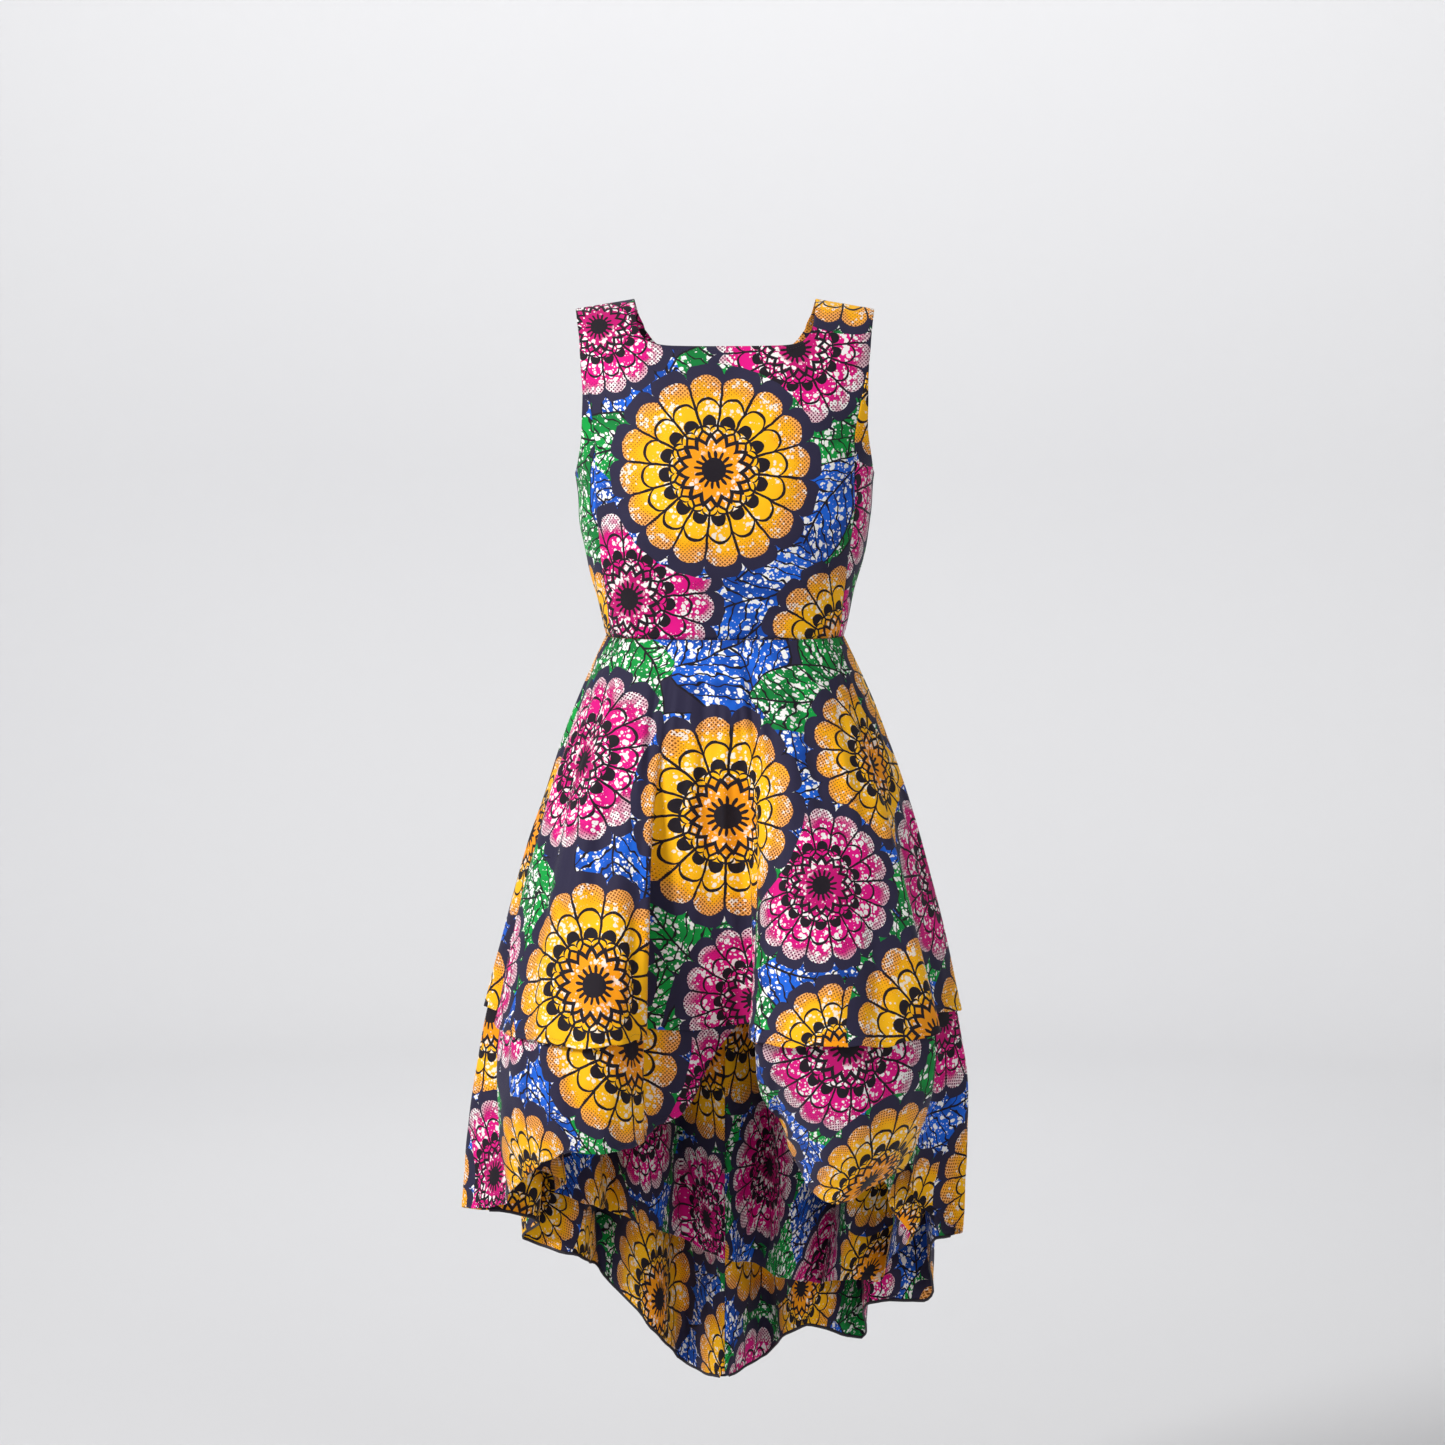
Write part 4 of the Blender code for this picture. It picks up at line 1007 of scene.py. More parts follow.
def add_roll(name, line, normals, half_height, half_width, material):
    """A rolled edge: an oval carried along a line, tall along the normals and closed at its ends."""
    along = np.gradient(line, axis=0)
    along /= np.linalg.norm(along, axis=-1, keepdims=True)
    across = np.cross(normals, along)
    turn = np.linspace(0, TURN, 9)[:-1]
    ring = (
        line[:, None]
        + normals[:, None] * (half_height * np.cos(turn))[None, :, None]
        + across[:, None] * (half_width * np.sin(turn))[None, :, None]
    )
    count, sides = ring.shape[:2]
    number = np.arange(count * sides).reshape(count, sides)
    after = np.roll(number, -1, axis=1)
    quads = np.stack([number[:-1], after[:-1], after[1:], number[1:]], axis=-1).reshape(-1, 4)
    corners = np.concatenate([ring.reshape(-1, 3), line[:1], line[-1:]])
    start = np.stack([after[0], number[0], np.full(sides, count * sides)], axis=-1)
    end = np.stack([number[-1], after[-1], np.full(sides, count * sides + 1)], axis=-1)
    faces = quads.tolist() + start.tolist() + end.tolist()
    roll = add_mesh(name, corners, faces, material)
    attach(roll, "dress")


# Materials


def math_method(operation, swapped=False):
    """A method of Wire that adds the operation's Math node, the wire its first value, or last if swapped."""
    def add_node(wire, *others):
        """Add the node."""
        values = (*others, wire) if swapped else (wire, *others)
        return wire.paint.maths(operation, *values)
    return add_node


class Wire:
    """A socket of a material's tree. An expression on wires and numbers adds its Math nodes."""

    def __init__(self, paint, socket):
        self.paint = paint
        self.socket = socket

    __add__ = math_method("ADD")
    __radd__ = math_method("ADD", swapped=True)
    __sub__ = math_method("SUBTRACT")
    __rsub__ = math_method("SUBTRACT", swapped=True)
    __mul__ = math_method("MULTIPLY")
    __rmul__ = math_method("MULTIPLY", swapped=True)
    __truediv__ = math_method("DIVIDE")
    __lt__ = math_method("LESS_THAN")
    __gt__ = math_method("GREATER_THAN")
    __abs__ = math_method("ABSOLUTE")


class Paint:
    """A material's node tree, and the nodes that the finishes are painted with."""

    def __init__(self, name):
        self.material = bpy.data.materials.new(name)
        self.material.use_nodes = True
        self.tree = self.material.node_tree
        self.shader = self.tree.nodes["Principled BSDF"]

    def node(self, kind, settings=None, inputs=None, output=0):
        """Add a node: its settings first, then the value or the wire of each socket."""
        node = self.tree.nodes.new(kind)
        for name, value in (settings or {}).items():
            setattr(node, name, value)
        for key, value in (inputs or {}).items():
            if isinstance(value, Wire):
                self.tree.links.new(value.socket, node.inputs[key])
            else:
                node.inputs[key].default_value = value
        return Wire(self, node.outputs[output])

    def maths(self, operation, *values):
        """A Math node on wires and numbers."""
        return self.node("ShaderNodeMath", {"operation": operation}, dict(enumerate(values)))

    def most(self, *values):
        """The greatest of wires and numbers."""
        return reduce(lambda first, second: self.maths("MAXIMUM", first, second), values)

    def bow(self, across):
        """The height of a half circle of radius 1, which is 0 beyond its ends."""
        return self.maths("SQRT", self.most(1.0 - across * across, 0.0))

    def vectors(self, operation, *values, output=0):
        """A Vector Math node on wires and vectors."""
        return self.node("ShaderNodeVectorMath", {"operation": operation}, dict(enumerate(values)), output)

    def step(self, low, high, value):
        """Rise smoothly from 0 at low to 1 at high."""
        ends = {"Value": value, "From Min": low, "From Max": high}
        return self.node("ShaderNodeMapRange", {"interpolation_type": "SMOOTHSTEP"}, ends)

    def colours(self, share, first, second):
        """Go from the first colour to the second by a share."""
        inputs = {0: share, 6: first, 7: second}
        return self.node("ShaderNodeMix", {"data_type": "RGBA"}, inputs, output=2)

    def places(self, share, first, second):
        """Go from the first vector to the second by a share."""
        inputs = {0: share, 4: first, 5: second}
        return self.node("ShaderNodeMix", {"data_type": "VECTOR"}, inputs, output=1)

    def numbers(self, share, first, second):
        """Go from the first number to the second by a share."""
        return self.node("ShaderNodeMix", {"data_type": "FLOAT"}, {0: share, 2: first, 3: second})

    def parts(self, vector, axes=(0, 1)):
        """A vector's parts along some axes, its x and y unless others are named."""
        split = self.node("ShaderNodeSeparateXYZ", None, {0: vector}).socket.node
        return [Wire(self, split.outputs[axis]) for axis in axes]

    def noise(self, vector, scale, detail):
        """Noise from 0 to 1 on a flat place."""
        inputs = {"Vector": vector, "Scale": scale, "Detail": detail}
        return self.node("ShaderNodeTexNoise", {"noise_dimensions": "2D"}, inputs)

    def cells(self, vector, scale, output="Distance", randomness=1.0):
        """The nearest of a scatter of points: its distance, its own colour or its place."""
        inputs = {"Vector": vector, "Scale": scale, "Randomness": randomness}
        return self.node("ShaderNodeTexVoronoi", {"voronoi_dimensions": "2D"}, inputs, output)

    def object_place(self):
        """The place on the object, in metres."""
        return self.node("ShaderNodeTexCoord", None, None, "Object")

    def grain(self, place, scale, detail):
        """Solid noise from 0 to 1."""
        return self.node("ShaderNodeTexNoise", None, {"Vector": place, "Scale": scale, "Detail": detail})

    def bump(self, strength, height):
        """Small bumps of a height from 0 to about 1."""
        inputs = {"Strength": strength, "Distance": BUMP_DEPTH, "Height": height}
        return self.node("ShaderNodeBump", None, inputs)

    def finish(self, **sockets):
        """Set the shader's sockets, named with underscores, to values or wires."""
        for name, value in sockets.items():
            socket = self.shader.inputs[name.replace("_", " ").title().replace("Ior", "IOR")]
            if isinstance(value, Wire):
                self.tree.links.new(value.socket, socket)
            else:
                socket.default_value = value


def colour(red, green, blue):
    """A colour as a screen shows it, from 0 to 255, as the shader needs it."""
    linear = []
    for value in (red, green, blue):
        share = value / 255
        linear.append(share / 12.92 if share <= 0.04045 else ((share + 0.055) / 1.055) ** 2.4)
    return (*linear, 1.0)


def rgba(value):
    """A property's colour with its alpha."""
    return (*value[:3], 1.0)


def printed_leaves(paint, cut, shift, scale, half_length, half_width, palette):
    """Leaves scattered over the cloth, each with a midrib, slanting veins and wax spots between them.

    A leaf is where the distance off its bent midrib is under half_width times one less the square of
    the share of its half length. Returns its colour and where it is.
    """
    moved = paint.vectors("ADD", cut, shift)
    own = paint.cells(moved, scale, "Color", 0.8)
    seat = paint.cells(moved, scale, "Position", 0.8)
    local = paint.vectors("SUBTRACT", moved, seat)
    red, green = paint.parts(own)
    settings = {"rotation_type": "Z_AXIS"}
    turned = paint.node("ShaderNodeVectorRotate", settings, {"Vector": local, "Angle": red * 6.28})
    x, y = paint.parts(turned)
    bent = y - x * x * ((green - 0.5) * 9.0)
    off = abs(bent)
    share = x / half_length
    reach = half_width * (1 - share * share) * (1.0 + 0.25 * share)
    inside = off < reach
    vein_place = (x - off * 0.85) / VEIN_SPACING + paint.noise(cut, 70.0, 1.0) * 0.9
    vein = abs(paint.maths("FRACT", vein_place) - 0.5) > 0.5 - 0.088
    rib = off < LINE * 1.2
    rim = abs(off - reach) < LINE * 1.1
    uneven = paint.noise(cut, 48.0, 1.0)
    oval = paint.node("ShaderNodeCombineXYZ", None, {0: x * 0.72, 1: bent})
    spots = paint.cells(oval, 118.0) < paint.maths("MINIMUM", uneven * 0.95 - 0.22, 0.30)
    bubbles = paint.cells(cut, 215.0) < uneven * 0.90 - 0.31
    white = paint.most(spots, bubbles)
    tone = paint.noise(cut, 22.0, 1.0)
    is_blue = red + green > 1.0
    base = paint.colours(is_blue, palette["green"], palette["blue"])
    deep = paint.colours(is_blue, palette["deep_green"], palette["deep_blue"])
    base = paint.colours(paint.step(0.38, 0.62, tone), deep, base)
    base = paint.colours(white, base, palette["white"])
    base = paint.colours(paint.most(vein, rib, rim), base, palette["ink"])
    return base, paint.most(inside, rim)


def printed_flower(paint, cut, spot, gold, palette):
    """One flower's paint from its own place, 1 at the petal tips: petals with arched lines and half-moons,
    two rings of scallops, a toothed ring and a rayed middle. Returns its colour and where its halo is.
    """
    x, y = paint.parts(spot)
    reach = paint.vectors("LENGTH", spot, output=1)
    around = paint.maths("ARCTAN2", y, x) * (PETALS / TURN)
    side = paint.maths("FRACT", around + PETALS) - 0.5
    off = abs(side) * 2.0
    bow = paint.bow(off)
    tip = 0.85 + 0.15 * bow
    halo = reach < 0.985 + 0.17 * bow
    petal = reach < tip
    pitch = TURN / PETALS / 2
    ray = ((1.0 - off) * reach * pitch < 0.0135) * (reach > 0.42)
    arch = abs(reach - (0.60 + 0.15 * bow)) < 0.0160
    dome = (reach < 0.472 + 0.104 * paint.bow(off / 0.80)) * (reach > 0.466) * (off < 0.80)
    ring = abs(reach - (0.410 + 0.055 * paint.bow(1.0 - off))) < 0.0115
    low = 0.250 + 0.085 * (1.0 - off)
    star = (reach > low) * (reach < low + 0.064)
    high = 0.335 + 0.070 * off
    spikes = (reach > high) * (reach < high + 0.036)
    middle = reach < 0.125 + 0.080 * paint.bow((1.0 - off) / 0.60)
    dark = paint.most(ray, arch, dome, ring, star, spikes, middle)

    bright = paint.colours(gold, palette["magenta"], palette["gold"])
    shade = paint.colours(gold, palette["deep_magenta"], palette["orange"])
    brown = paint.colours(gold, palette["plum"], palette["brown"])
    mottle = paint.noise(cut, 34.0, 1.0)
    warm = paint.step(0.66, 1.00, reach / tip + (mottle - 0.5) * 0.40) * 0.80
    warm = paint.most(warm, paint.step(0.44, 0.34, reach) * 0.90)
    base = paint.colours(warm, bright, shade)
    uneven = paint.noise(cut, 40.0, 1.0) - gold * 0.085
    spots = paint.cells(cut, 112.0) < paint.maths("MINIMUM", uneven * 1.05 - 0.27, 0.31)
    bubbles = paint.cells(cut, 205.0) < uneven * 0.95 - 0.31
    white = paint.most(spots, bubbles) * paint.step(0.17, 0.24, reach) * (0.95 - gold * 0.20)
    base = paint.colours(white, base, palette["white"])
    u, v = paint.parts(cut)
    first = abs(paint.maths("FRACT", (u + v) * (1 / MESH_SPACING)) - 0.5)
    second = abs(paint.maths("FRACT", (u - v) * (1 / MESH_SPACING)) - 0.5)
    mesh = paint.most(first, second) * 2.0
    edge = reach / tip + (mottle - 0.5) * 0.35
    base = paint.colours(paint.step(0.84, 1.00, edge) * (0.60 - gold * 0.48), base, palette["white"])
    base = paint.colours(mesh < paint.step(0.66, 1.02, edge) * 0.62, base, brown)
    base = paint.colours(dark, base, palette["ink"])
    return paint.colours(petal, palette["navy"], base), halo


def print_palette():
    """The print's colours: the ones a user may change, and the shades that go with them."""
    inks = bpy.context.scene.dress_print
    return {
        "gold": rgba(inks.gold),
        "magenta": rgba(inks.magenta),
        "green": rgba(inks.green),
        "blue": rgba(inks.blue),
        "navy": rgba(inks.navy),
        "white": rgba(inks.wax_white),
        "orange": colour(246, 148, 0),
        "brown": colour(126, 66, 0),
        "deep_magenta": colour(186, 0, 104),
        "plum": colour(104, 10, 66),
        "deep_green": colour(0, 122, 52),
        "deep_blue": colour(10, 72, 168),
        "ink": colour(24, 16, 26),
    }


@lru_cache(maxsize=None)
def printed_cotton(layout_name):
    """Wax-printed cotton: leaves on a dark ground, flowers over them, and a fine plain weave."""
    layout = LAYOUTS[layout_name]
    palette = print_palette()
    paint = Paint("printed_cotton_" + layout_name)
    flat = paint.node("ShaderNodeUVMap", {"uv_map": "cut"})
    shake = paint.node(
        "ShaderNodeTexNoise", {"noise_dimensions": "2D"}, {"Vector": flat, "Scale": 60.0}, "Color")
    shake = paint.vectors("SUBTRACT", shake, (0.5, 0.5, 0.5))
    cut = paint.vectors("ADD", flat, paint.vectors("MULTIPLY", shake, (0.0032, 0.0032, 0.0)))
    half = (layout.width / 2, layout.height / 2, 1.0)
    spot = None
    gold = 0.0
    seen = 0.0
    for flower in layout.flowers:
        local = paint.vectors("SUBTRACT", cut, (flower.u, flower.v, 0.0))
        local = paint.vectors("WRAP", local, half, tuple(-reach for reach in half))
        size = 1 / flower.radius
        inputs = {"Vector": local, "Rotation": (0, 0, flower.turn), "Scale": (size, size, 1.0)}
        own = paint.node("ShaderNodeMapping", None, inputs)
        inside = paint.vectors("LENGTH", own, output=1) < 1.12
        spot = own if spot is None else paint.places(inside, spot, own)
        gold = paint.numbers(inside, gold, flower.gold)
        seen = paint.most(seen, inside)
    under, under_seen = printed_leaves(paint, cut, (0.37, 0.11, 0), 9.0, 0.110, 0.062, palette)
    over, over_seen = printed_leaves(paint, cut, (0.05, 0.43, 0), 8.0, 0.086, 0.042, palette)
    ground = paint.colours(under_seen, palette["navy"], under)
    ground = paint.colours(over_seen, ground, over)
    petals, halo = printed_flower(paint, cut, spot, gold, palette)
    ink = paint.colours(seen * halo, ground, petals)
    faded = paint.noise(flat, 9.0, 2.0)
    ink = paint.colours(paint.step(0.35, 0.75, faded) * 0.10, ink, colour(12, 10, 20))
    u, v = paint.parts(flat)
    warp = paint.maths("SINE", u * (TURN / YARN_SPACING))
    weft = paint.maths("SINE", v * (TURN / YARN_SPACING))
    weave = warp * weft * 0.5 + paint.noise(flat, 500.0, 1.0)
    paint.finish(base_color=ink, roughness=0.74, sheen_weight=0.05, sheen_roughness=0.5,
                 specular_ior_level=0.22, normal=paint.bump(0.22, weave))
    return paint.material


@lru_cache(maxsize=None)
def sewing_thread(name, red, green, blue):
    """Twisted thread: one colour with the light and dark of its ply."""
    paint = Paint(name)
    ply = paint.grain(paint.object_place(), 900.0, 1.0)
    dark = colour(red * 0.6, green * 0.6, blue * 0.6)
    paint.finish(base_color=paint.colours(ply, dark, colour(red, green, blue)), roughness=0.6)
    return paint.material


@lru_cache(maxsize=None)
def woven_tape():
    """Zip tape: a dark twill whose ribs run along it."""
    paint = Paint("woven_zip_tape")
    across, up = paint.parts(paint.object_place(), (0, 2))
    twill = paint.maths("SINE", (abs(across) + up) * (TURN / 0.0009))
    rib = paint.maths("SINE", across * (TURN / 0.0016))
    tone = paint.step(-1.0, 1.0, twill * 0.7 + rib * 0.3)
    paint.finish(base_color=paint.colours(tone, colour(18, 17, 32), colour(46, 44, 72)),
                 roughness=0.85, normal=paint.bump(0.5, tone))
    return paint.material


@lru_cache(maxsize=None)
def brushed_slider():
    """The slider's steel: fine lines along it, and dulled patches."""
    paint = Paint("brushed_slider_steel")
    long = paint.vectors("MULTIPLY", paint.object_place(), (9000.0, 9000.0, 500.0))
    lines = paint.grain(long, 1.0, 2.0)
    paint.finish(base_color=paint.colours(lines, colour(150, 151, 156), colour(205, 206, 210)),
                 metallic=1.0, roughness=0.24 + lines * 0.22)
    return paint.material


@lru_cache(maxsize=None)
def enamelled_pull():
    """The pull's dark enamel, a little mottled and rubbed."""
    paint = Paint("enamelled_pull")
    worn = paint.step(0.62, 0.70, paint.grain(paint.object_place(), 700.0, 3.0))
    base = paint.colours(worn, colour(26, 24, 44), colour(74, 72, 92))
    paint.finish(base_color=base, roughness=0.28 + worn * 0.3, coat_weight=0.4, specular_ior_level=0.5)
    return paint.material


@lru_cache(maxsize=None)
def pale_studio():
    """The plain pale paper of the studio bowl."""
    paint = Paint("pale_studio_paper")
    cloudy = paint.grain(paint.object_place(), 0.6, 1.0)
    paint.finish(base_color=paint.colours(cloudy, colour(208, 208, 210), colour(212, 212, 213)),
                 roughness=0.9, specular_ior_level=0.1)
    return paint.material


# What a user may change


def length_choice(name, description, default, least, most):
    """A length in metres."""
    return bpy.props.FloatProperty(
        name=name, description=description, default=default, min=least, max=most, unit="LENGTH")


def ink_choice(name, description, red, green, blue):
    """A colour of the print."""
    return bpy.props.FloatVectorProperty(
        name=name, description=description, default=colour(red, green, blue)[:3], subtype="COLOR")


class DressSizes(bpy.types.PropertyGroup):
    """Sizes of the cloth and its sewing."""

    cloth_wall: length_choice("Cloth wall", "Thickness of the cotton", 0.0008, 0.0004, 0.0012)
    stitch_pitch: length_choice(
        "Stitch pitch", "Distance from one stitch to the next", 0.0030, 0.0015, 0.0060)
    tooth_pitch: length_choice(
        "Zip tooth pitch", "Distance from one turn of the zip's coil to the next", 0.0013, 0.0010, 0.0030)


class DressPrint(bpy.types.PropertyGroup):
    """Colours of the printed cotton."""

    gold: ink_choice("Gold", "Petals of the gold flowers", 255, 188, 4)
    magenta: ink_choice("Magenta", "Petals of the magenta flowers", 224, 0, 130)
    green: ink_choice("Green", "Green leaves", 0, 156, 62)
    blue: ink_choice("Blue", "Blue leaves", 20, 98, 214)
    navy: ink_choice("Navy ground", "Ground of the print and the halos of its flowers", 40, 36, 62)
    wax_white: ink_choice("Wax white", "Undyed spots that the wax leaves", 246, 244, 240)


# Pieces


def grid_line(piece, rows, columns):
    """Points and normals of a piece's grid along a row or a column."""
    return piece.points[rows, columns], piece.normals[rows, columns]


class DRESS_OT_bodice(bpy.types.Operator):
    """Build the five printed panels of the bodice"""

    bl_idname = "dress.bodice"
    bl_label = "Bodice Panels"

    def execute(self, context):
        wall = context.scene.dress_sizes.cloth_wall
        for name in ("bodice_front", "bodice_side_left", "bodice_side_right",
                     "bodice_back_left", "bodice_back_right"):
            add_panel(bodice_piece(name), wall)
        return {"FINISHED"}


class DRESS_OT_skirt_layers(bpy.types.Operator):
    """Build the overlay, the long layer and the inner layer of the skirt, each in three panels"""

    bl_idname = "dress.skirt_layers"
    bl_label = "Skirt Layers"

    def execute(self, context):
        wall = context.scene.dress_sizes.cloth_wall
        for kind in LAYERS:
            for part in PARTS:
                add_panel(skirt_piece(kind, part), wall)
        return {"FINISHED"}


class DRESS_OT_hem_stitches(bpy.types.Operator):
    """Sew the hems of the three skirt layers"""

    bl_idname = "dress.hem_stitches"
    bl_label = "Hem Stitches"

    def execute(self, context):
        pitch = context.scene.dress_sizes.stitch_pitch
        thread = sewing_thread("dark_thread", 46, 38, 60)
        row = HEM_STITCH_STEP - len(HEM_STEPS)
        for kind in LAYERS:
            lines = [grid_line(skirt_piece(kind, part), row, slice(1, -1)) for part in PARTS]
            add_stitches("hem_stitches_" + kind, lines, thread, pitch, HEM_STITCH)
        return {"FINISHED"}


class DRESS_OT_hem_roll(bpy.types.Operator):
    """Roll the lowest hem, at the back of the long layer, in dark thread"""

    bl_idname = "dress.hem_roll"
    bl_label = "Rolled Back Hem"

    def execute(self, context):
        material = sewing_thread("rolled_hem_thread", 34, 26, 40)
        for part in ("back_left", "back_right"):
            line, normals = grid_line(skirt_piece("long", part), -1, slice(1, -1))
            line = line - normals * HEM_ROLL_DEPTH
            add_roll("hem_roll_" + part, line, normals, HEM_ROLL_HALF_HEIGHT, HEM_ROLL_HALF_WIDTH, material)
        return {"FINISHED"}


class DRESS_OT_edge_stitches(bpy.types.Operator):
    """Sew the neck and the armholes"""

    bl_idname = "dress.edge_stitches"
    bl_label = "Edge Stitches"

    def execute(self, context):
        pitch = context.scene.dress_sizes.stitch_pitch
        thread = sewing_thread("dark_thread", 46, 38, 60)
        fine = BODICE_FINENESS
        underarm = SIDE_ROWS * fine
        front = bodice_piece("bodice_front")
        edge = STRAP_COLUMNS * fine
        rows, columns = front.points.shape[:2]
        last = columns - 1
        lines = [grid_line(front, underarm - 1, slice(edge, last - edge + 1))]
        for column in (2, last - 2):
            lines.append(grid_line(front, slice(underarm, rows - 2), column))
        for column in (edge - 2, last - edge + 2):
            lines.append(grid_line(front, slice(underarm - 1, rows - 2), column))
        for name in ("bodice_side_left", "bodice_side_right"):
            lines.append(grid_line(bodice_piece(name), -2, slice(1, -1)))
        strap = (len(BACK_NECK) - 1) * fine
        outer = strap + STRAP_COLUMNS * fine
        neck_row = (SIDE_ROWS + CHEST_ROWS) * fine - 1
        for name in ("bodice_back_left", "bodice_back_right"):
            back = bodice_piece(name)
            rows = back.points.shape[0]
            lines.append(grid_line(back, neck_row, slice(1, strap)))
            lines.append(grid_line(back, slice(underarm, rows - 2), outer - 2))
            lines.append(grid_line(back, slice(neck_row, rows - 2), strap + 2))
            lines.append(grid_line(back, underarm - 1, slice(outer, -1)))
        add_stitches("edge_stitches", lines, thread, pitch, EDGE_STITCH)
        return {"FINISHED"}


class DRESS_OT_zip(bpy.types.Operator):
    """Set the zip's coil between its tapes, and finish the tapes, the slider and the pull"""

    bl_idname = "dress.zip"
    bl_label = "Zip"

    def execute(self, context):
        pitch = context.scene.dress_sizes.tooth_pitch
        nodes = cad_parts
        tape = nodes["zip_tape_right"].data
        corner = np.empty(len(tape.vertices) * 3)
        tape.vertices.foreach_get("co", corner)
        corner = corner.reshape(-1, 3)
        inner = corner[corner[:, 0] < corner[:, 0].min() + TAPE_EDGE_WIDTH]
        fit = np.polyfit(inner[:, 2], inner[:, 1], TAPE_CURVE_DEGREE)
        slider_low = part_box("zip_slider")[0].z
        z = np.arange(corner[:, 2].min() + COIL_FOOT_GAP, slider_low - COIL_TOP_GAP, pitch)
        y = np.polyval(fit, z)
        lines = []
        for side in (-1, 1):
            x = np.full_like(z, side * COIL_OFFSET)
            lines.append(np.stack([x, y, z + side * pitch / 4], axis=-1))
        add_coil(lines, pitch)
        finishes = {
            "zip_tape_left": woven_tape,
            "zip_tape_right": woven_tape,
            "zip_slider": brushed_slider,
            "zip_pull": enamelled_pull,
        }
        for name, finish in finishes.items():
            nodes[name].data.materials.clear()
            nodes[name].data.materials.append(finish())
        return {"FINISHED"}


def add_coil(lines, pitch):
    """The zip's coil: along each tape a row of lozenges that reach across the middle."""
    across = np.array([COIL_REACH, 0.0, 0.0])
    up = np.array([0.0, 0.0, pitch * COIL_FULLNESS])
    out = np.array([0.0, COIL_STAND, 0.0])
    corners = []
    for line in lines:
        ends = [line - across, line + across]
        corners.append(np.stack(ends + [line - up, line + up, line + out, line - out], axis=1))
    nylon = sewing_thread("zip_coil_nylon", 30, 28, 48)
    coil = add_mesh("zip_coil", *lozenge_mesh(np.concatenate(corners)), nylon)
    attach(coil, "dress")


# Studio


def add_light(light):
    """A square soft light at its place, turned towards its aim."""
    lamp_data = bpy.data.lights.new(light.name, "AREA")
    lamp_data.shape = "SQUARE"
    lamp_data.size = light.size
    lamp_data.energy = light.power
    lamp = bpy.data.objects.new(light.name, lamp_data)
    lamp.location = light.place
    lamp.rotation_euler = (Vector(light.aim) - Vector(light.place)).to_track_quat("-Z", "Y").to_euler()
    bpy.context.scene.collection.objects.link(lamp)


def bowl_points():
    """The studio bowl: a round floor that turns up through a quarter circle into a wall on all sides, so
    that the part is seen before the same pale paper from everywhere.
    """
    turns = np.linspace(0, math.pi / 2, 19)[1:]
    bend = BOWL_FLOOR + BOWL_BEND * np.sin(turns)
    out = np.concatenate([np.linspace(0.0, BOWL_FLOOR, 8), bend, [BOWL_FLOOR + BOWL_BEND]])
    rise = BOWL_BEND * (1 - np.cos(turns))
    up = np.concatenate([np.zeros(8), rise, [BOWL_TOP - FLOOR_LEVEL]]) + FLOOR_LEVEL
    around = np.linspace(0, TURN, 97)
    return np.stack([out[:, None] * np.cos(around), out[:, None] * np.sin(around),
                     np.broadcast_to(up[:, None], (len(up), len(around)))], axis=-1)


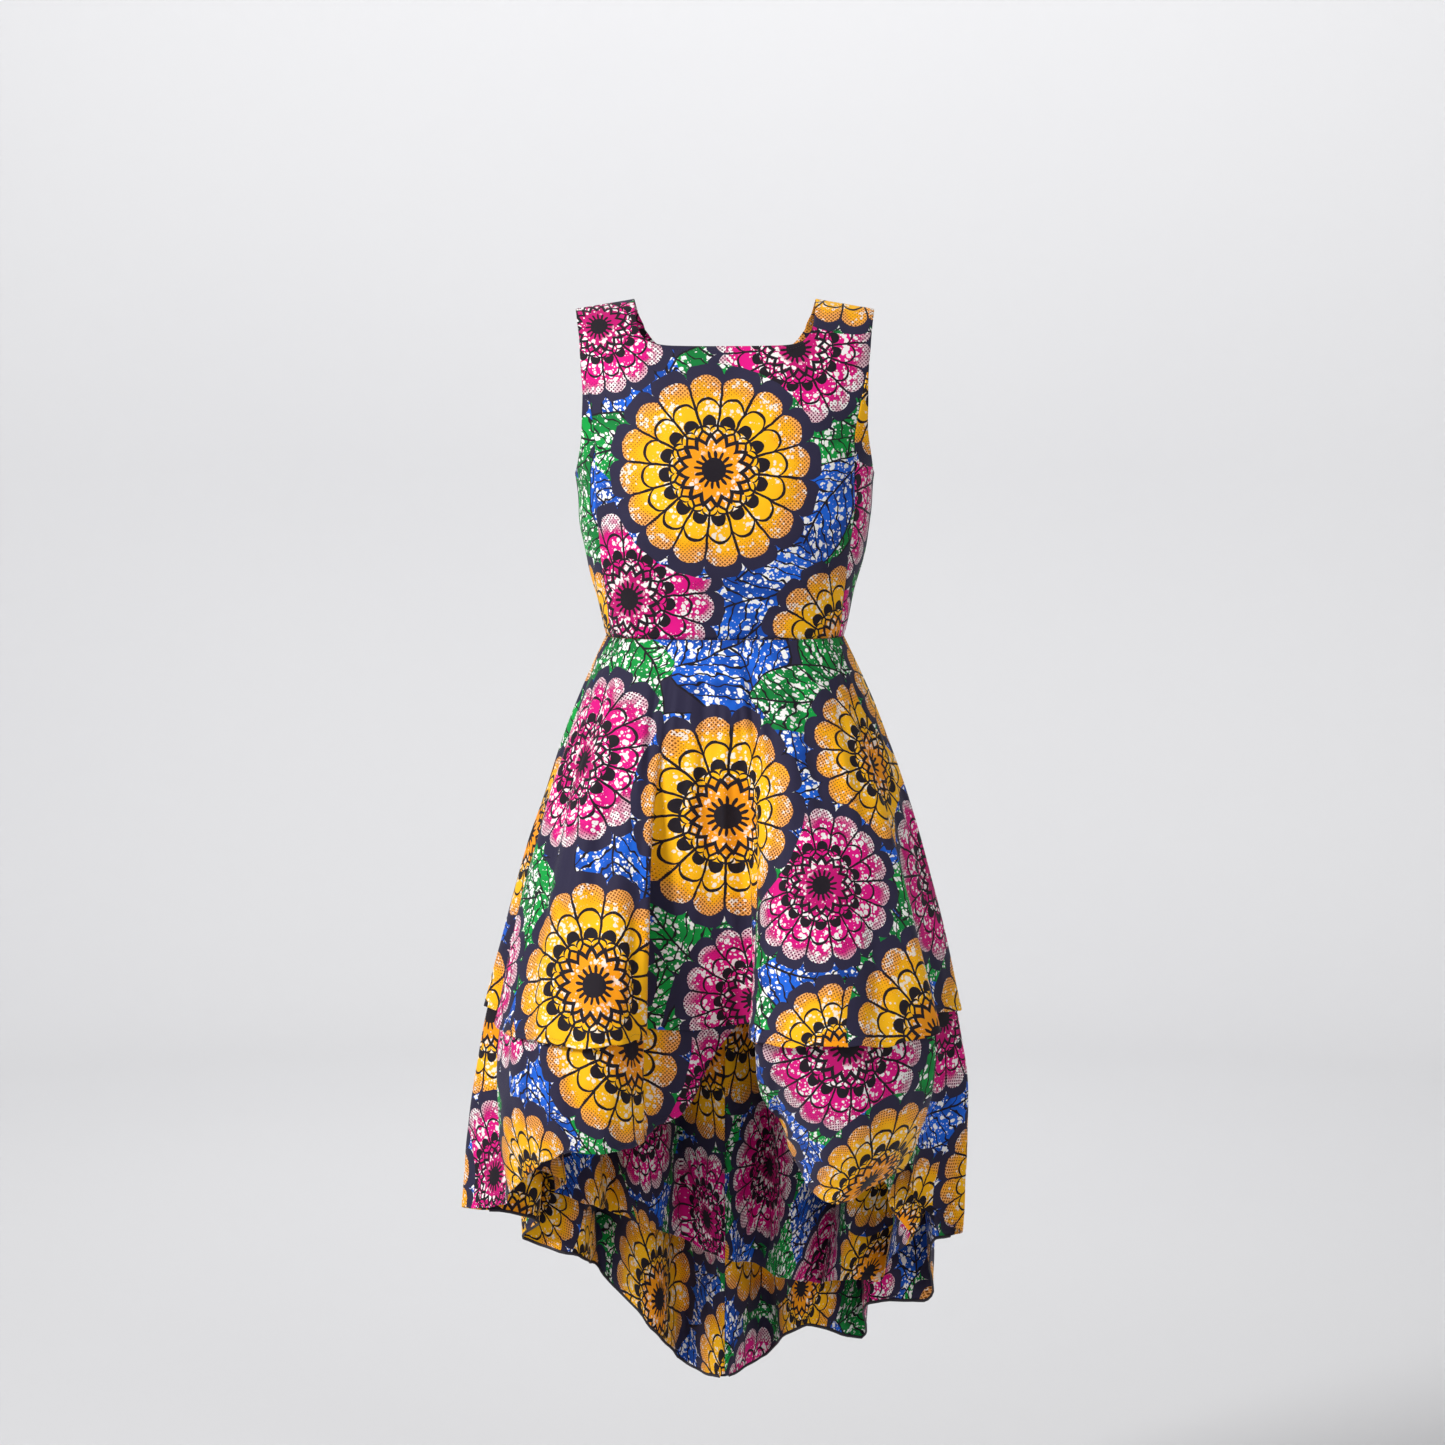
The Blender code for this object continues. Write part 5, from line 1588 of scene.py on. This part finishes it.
class DRESS_OT_stage(bpy.types.Operator):
    """Set the pale studio bowl, the soft lights and the camera"""

    bl_idname = "dress.stage"
    bl_label = "Studio"

    def execute(self, context):
        scene = context.scene
        points = bowl_points()
        present, faces = grid_faces(points, (0, 0, 1))
        bowl = add_mesh("studio_bowl", points[present], faces.tolist(), pale_studio())
        world = bpy.data.worlds.new("soft_room")
        world.use_nodes = True
        background = world.node_tree.nodes["Background"]
        background.inputs["Color"].default_value = (1.0, 1.0, 1.0, 1.0)
        background.inputs["Strength"].default_value = ROOM_GLOW
        scene.world = world
        for light in LIGHTS:
            add_light(light)
        camera = bpy.data.cameras.new("camera")
        camera.lens = CAMERA_LENS
        camera.sensor_width = 36.0
        camera.clip_end = 50.0
        eye = bpy.data.objects.new("camera", camera)
        eye.location = CAMERA_PLACE
        eye.rotation_euler = (math.pi / 2 - CAMERA_PITCH, 0, 0)
        scene.collection.objects.link(eye)
        scene.camera = eye
        scene.view_settings.view_transform = "Standard"
        return {"FINISHED"}


PIECE_OPERATORS = (
    DRESS_OT_bodice,
    DRESS_OT_skirt_layers,
    DRESS_OT_hem_stitches,
    DRESS_OT_hem_roll,
    DRESS_OT_edge_stitches,
    DRESS_OT_zip,
    DRESS_OT_stage,
)


class DRESS_PT_sidebar(bpy.types.Panel):
    """Sidebar panel that lists the dress's sizes, colours and pieces"""

    bl_idname = "DRESS_PT_sidebar"
    bl_label = "Layered Print Dress"
    bl_space_type = "VIEW_3D"
    bl_region_type = "UI"
    bl_category = "Dress"

    def draw(self, context):
        layout = self.layout
        for group in (context.scene.dress_sizes, context.scene.dress_print):
            for name in group.bl_rna.properties.keys():
                if name not in ("rna_type", "name"):
                    layout.prop(group, name)
        for operator in PIECE_OPERATORS:
            layout.operator(operator.bl_idname)


CLASSES = (DressSizes, DressPrint, *PIECE_OPERATORS, DRESS_PT_sidebar)


def register():
    """Add the classes and the scene's properties."""
    for entry in CLASSES:
        bpy.utils.register_class(entry)
    bpy.types.Scene.dress_sizes = bpy.props.PointerProperty(type=DressSizes)
    bpy.types.Scene.dress_print = bpy.props.PointerProperty(type=DressPrint)


def unregister():
    """Remove the scene's properties and the classes."""
    del bpy.types.Scene.dress_print
    del bpy.types.Scene.dress_sizes
    for entry in reversed(CLASSES):
        bpy.utils.unregister_class(entry)


def main():
    """Build every piece and the studio."""
    register()
    bpy.ops.dress.bodice()
    bpy.ops.dress.skirt_layers()
    bpy.ops.dress.hem_stitches()
    bpy.ops.dress.hem_roll()
    bpy.ops.dress.edge_stitches()
    bpy.ops.dress.zip()
    bpy.ops.dress.stage()


if __name__ == "__main__":
    main()
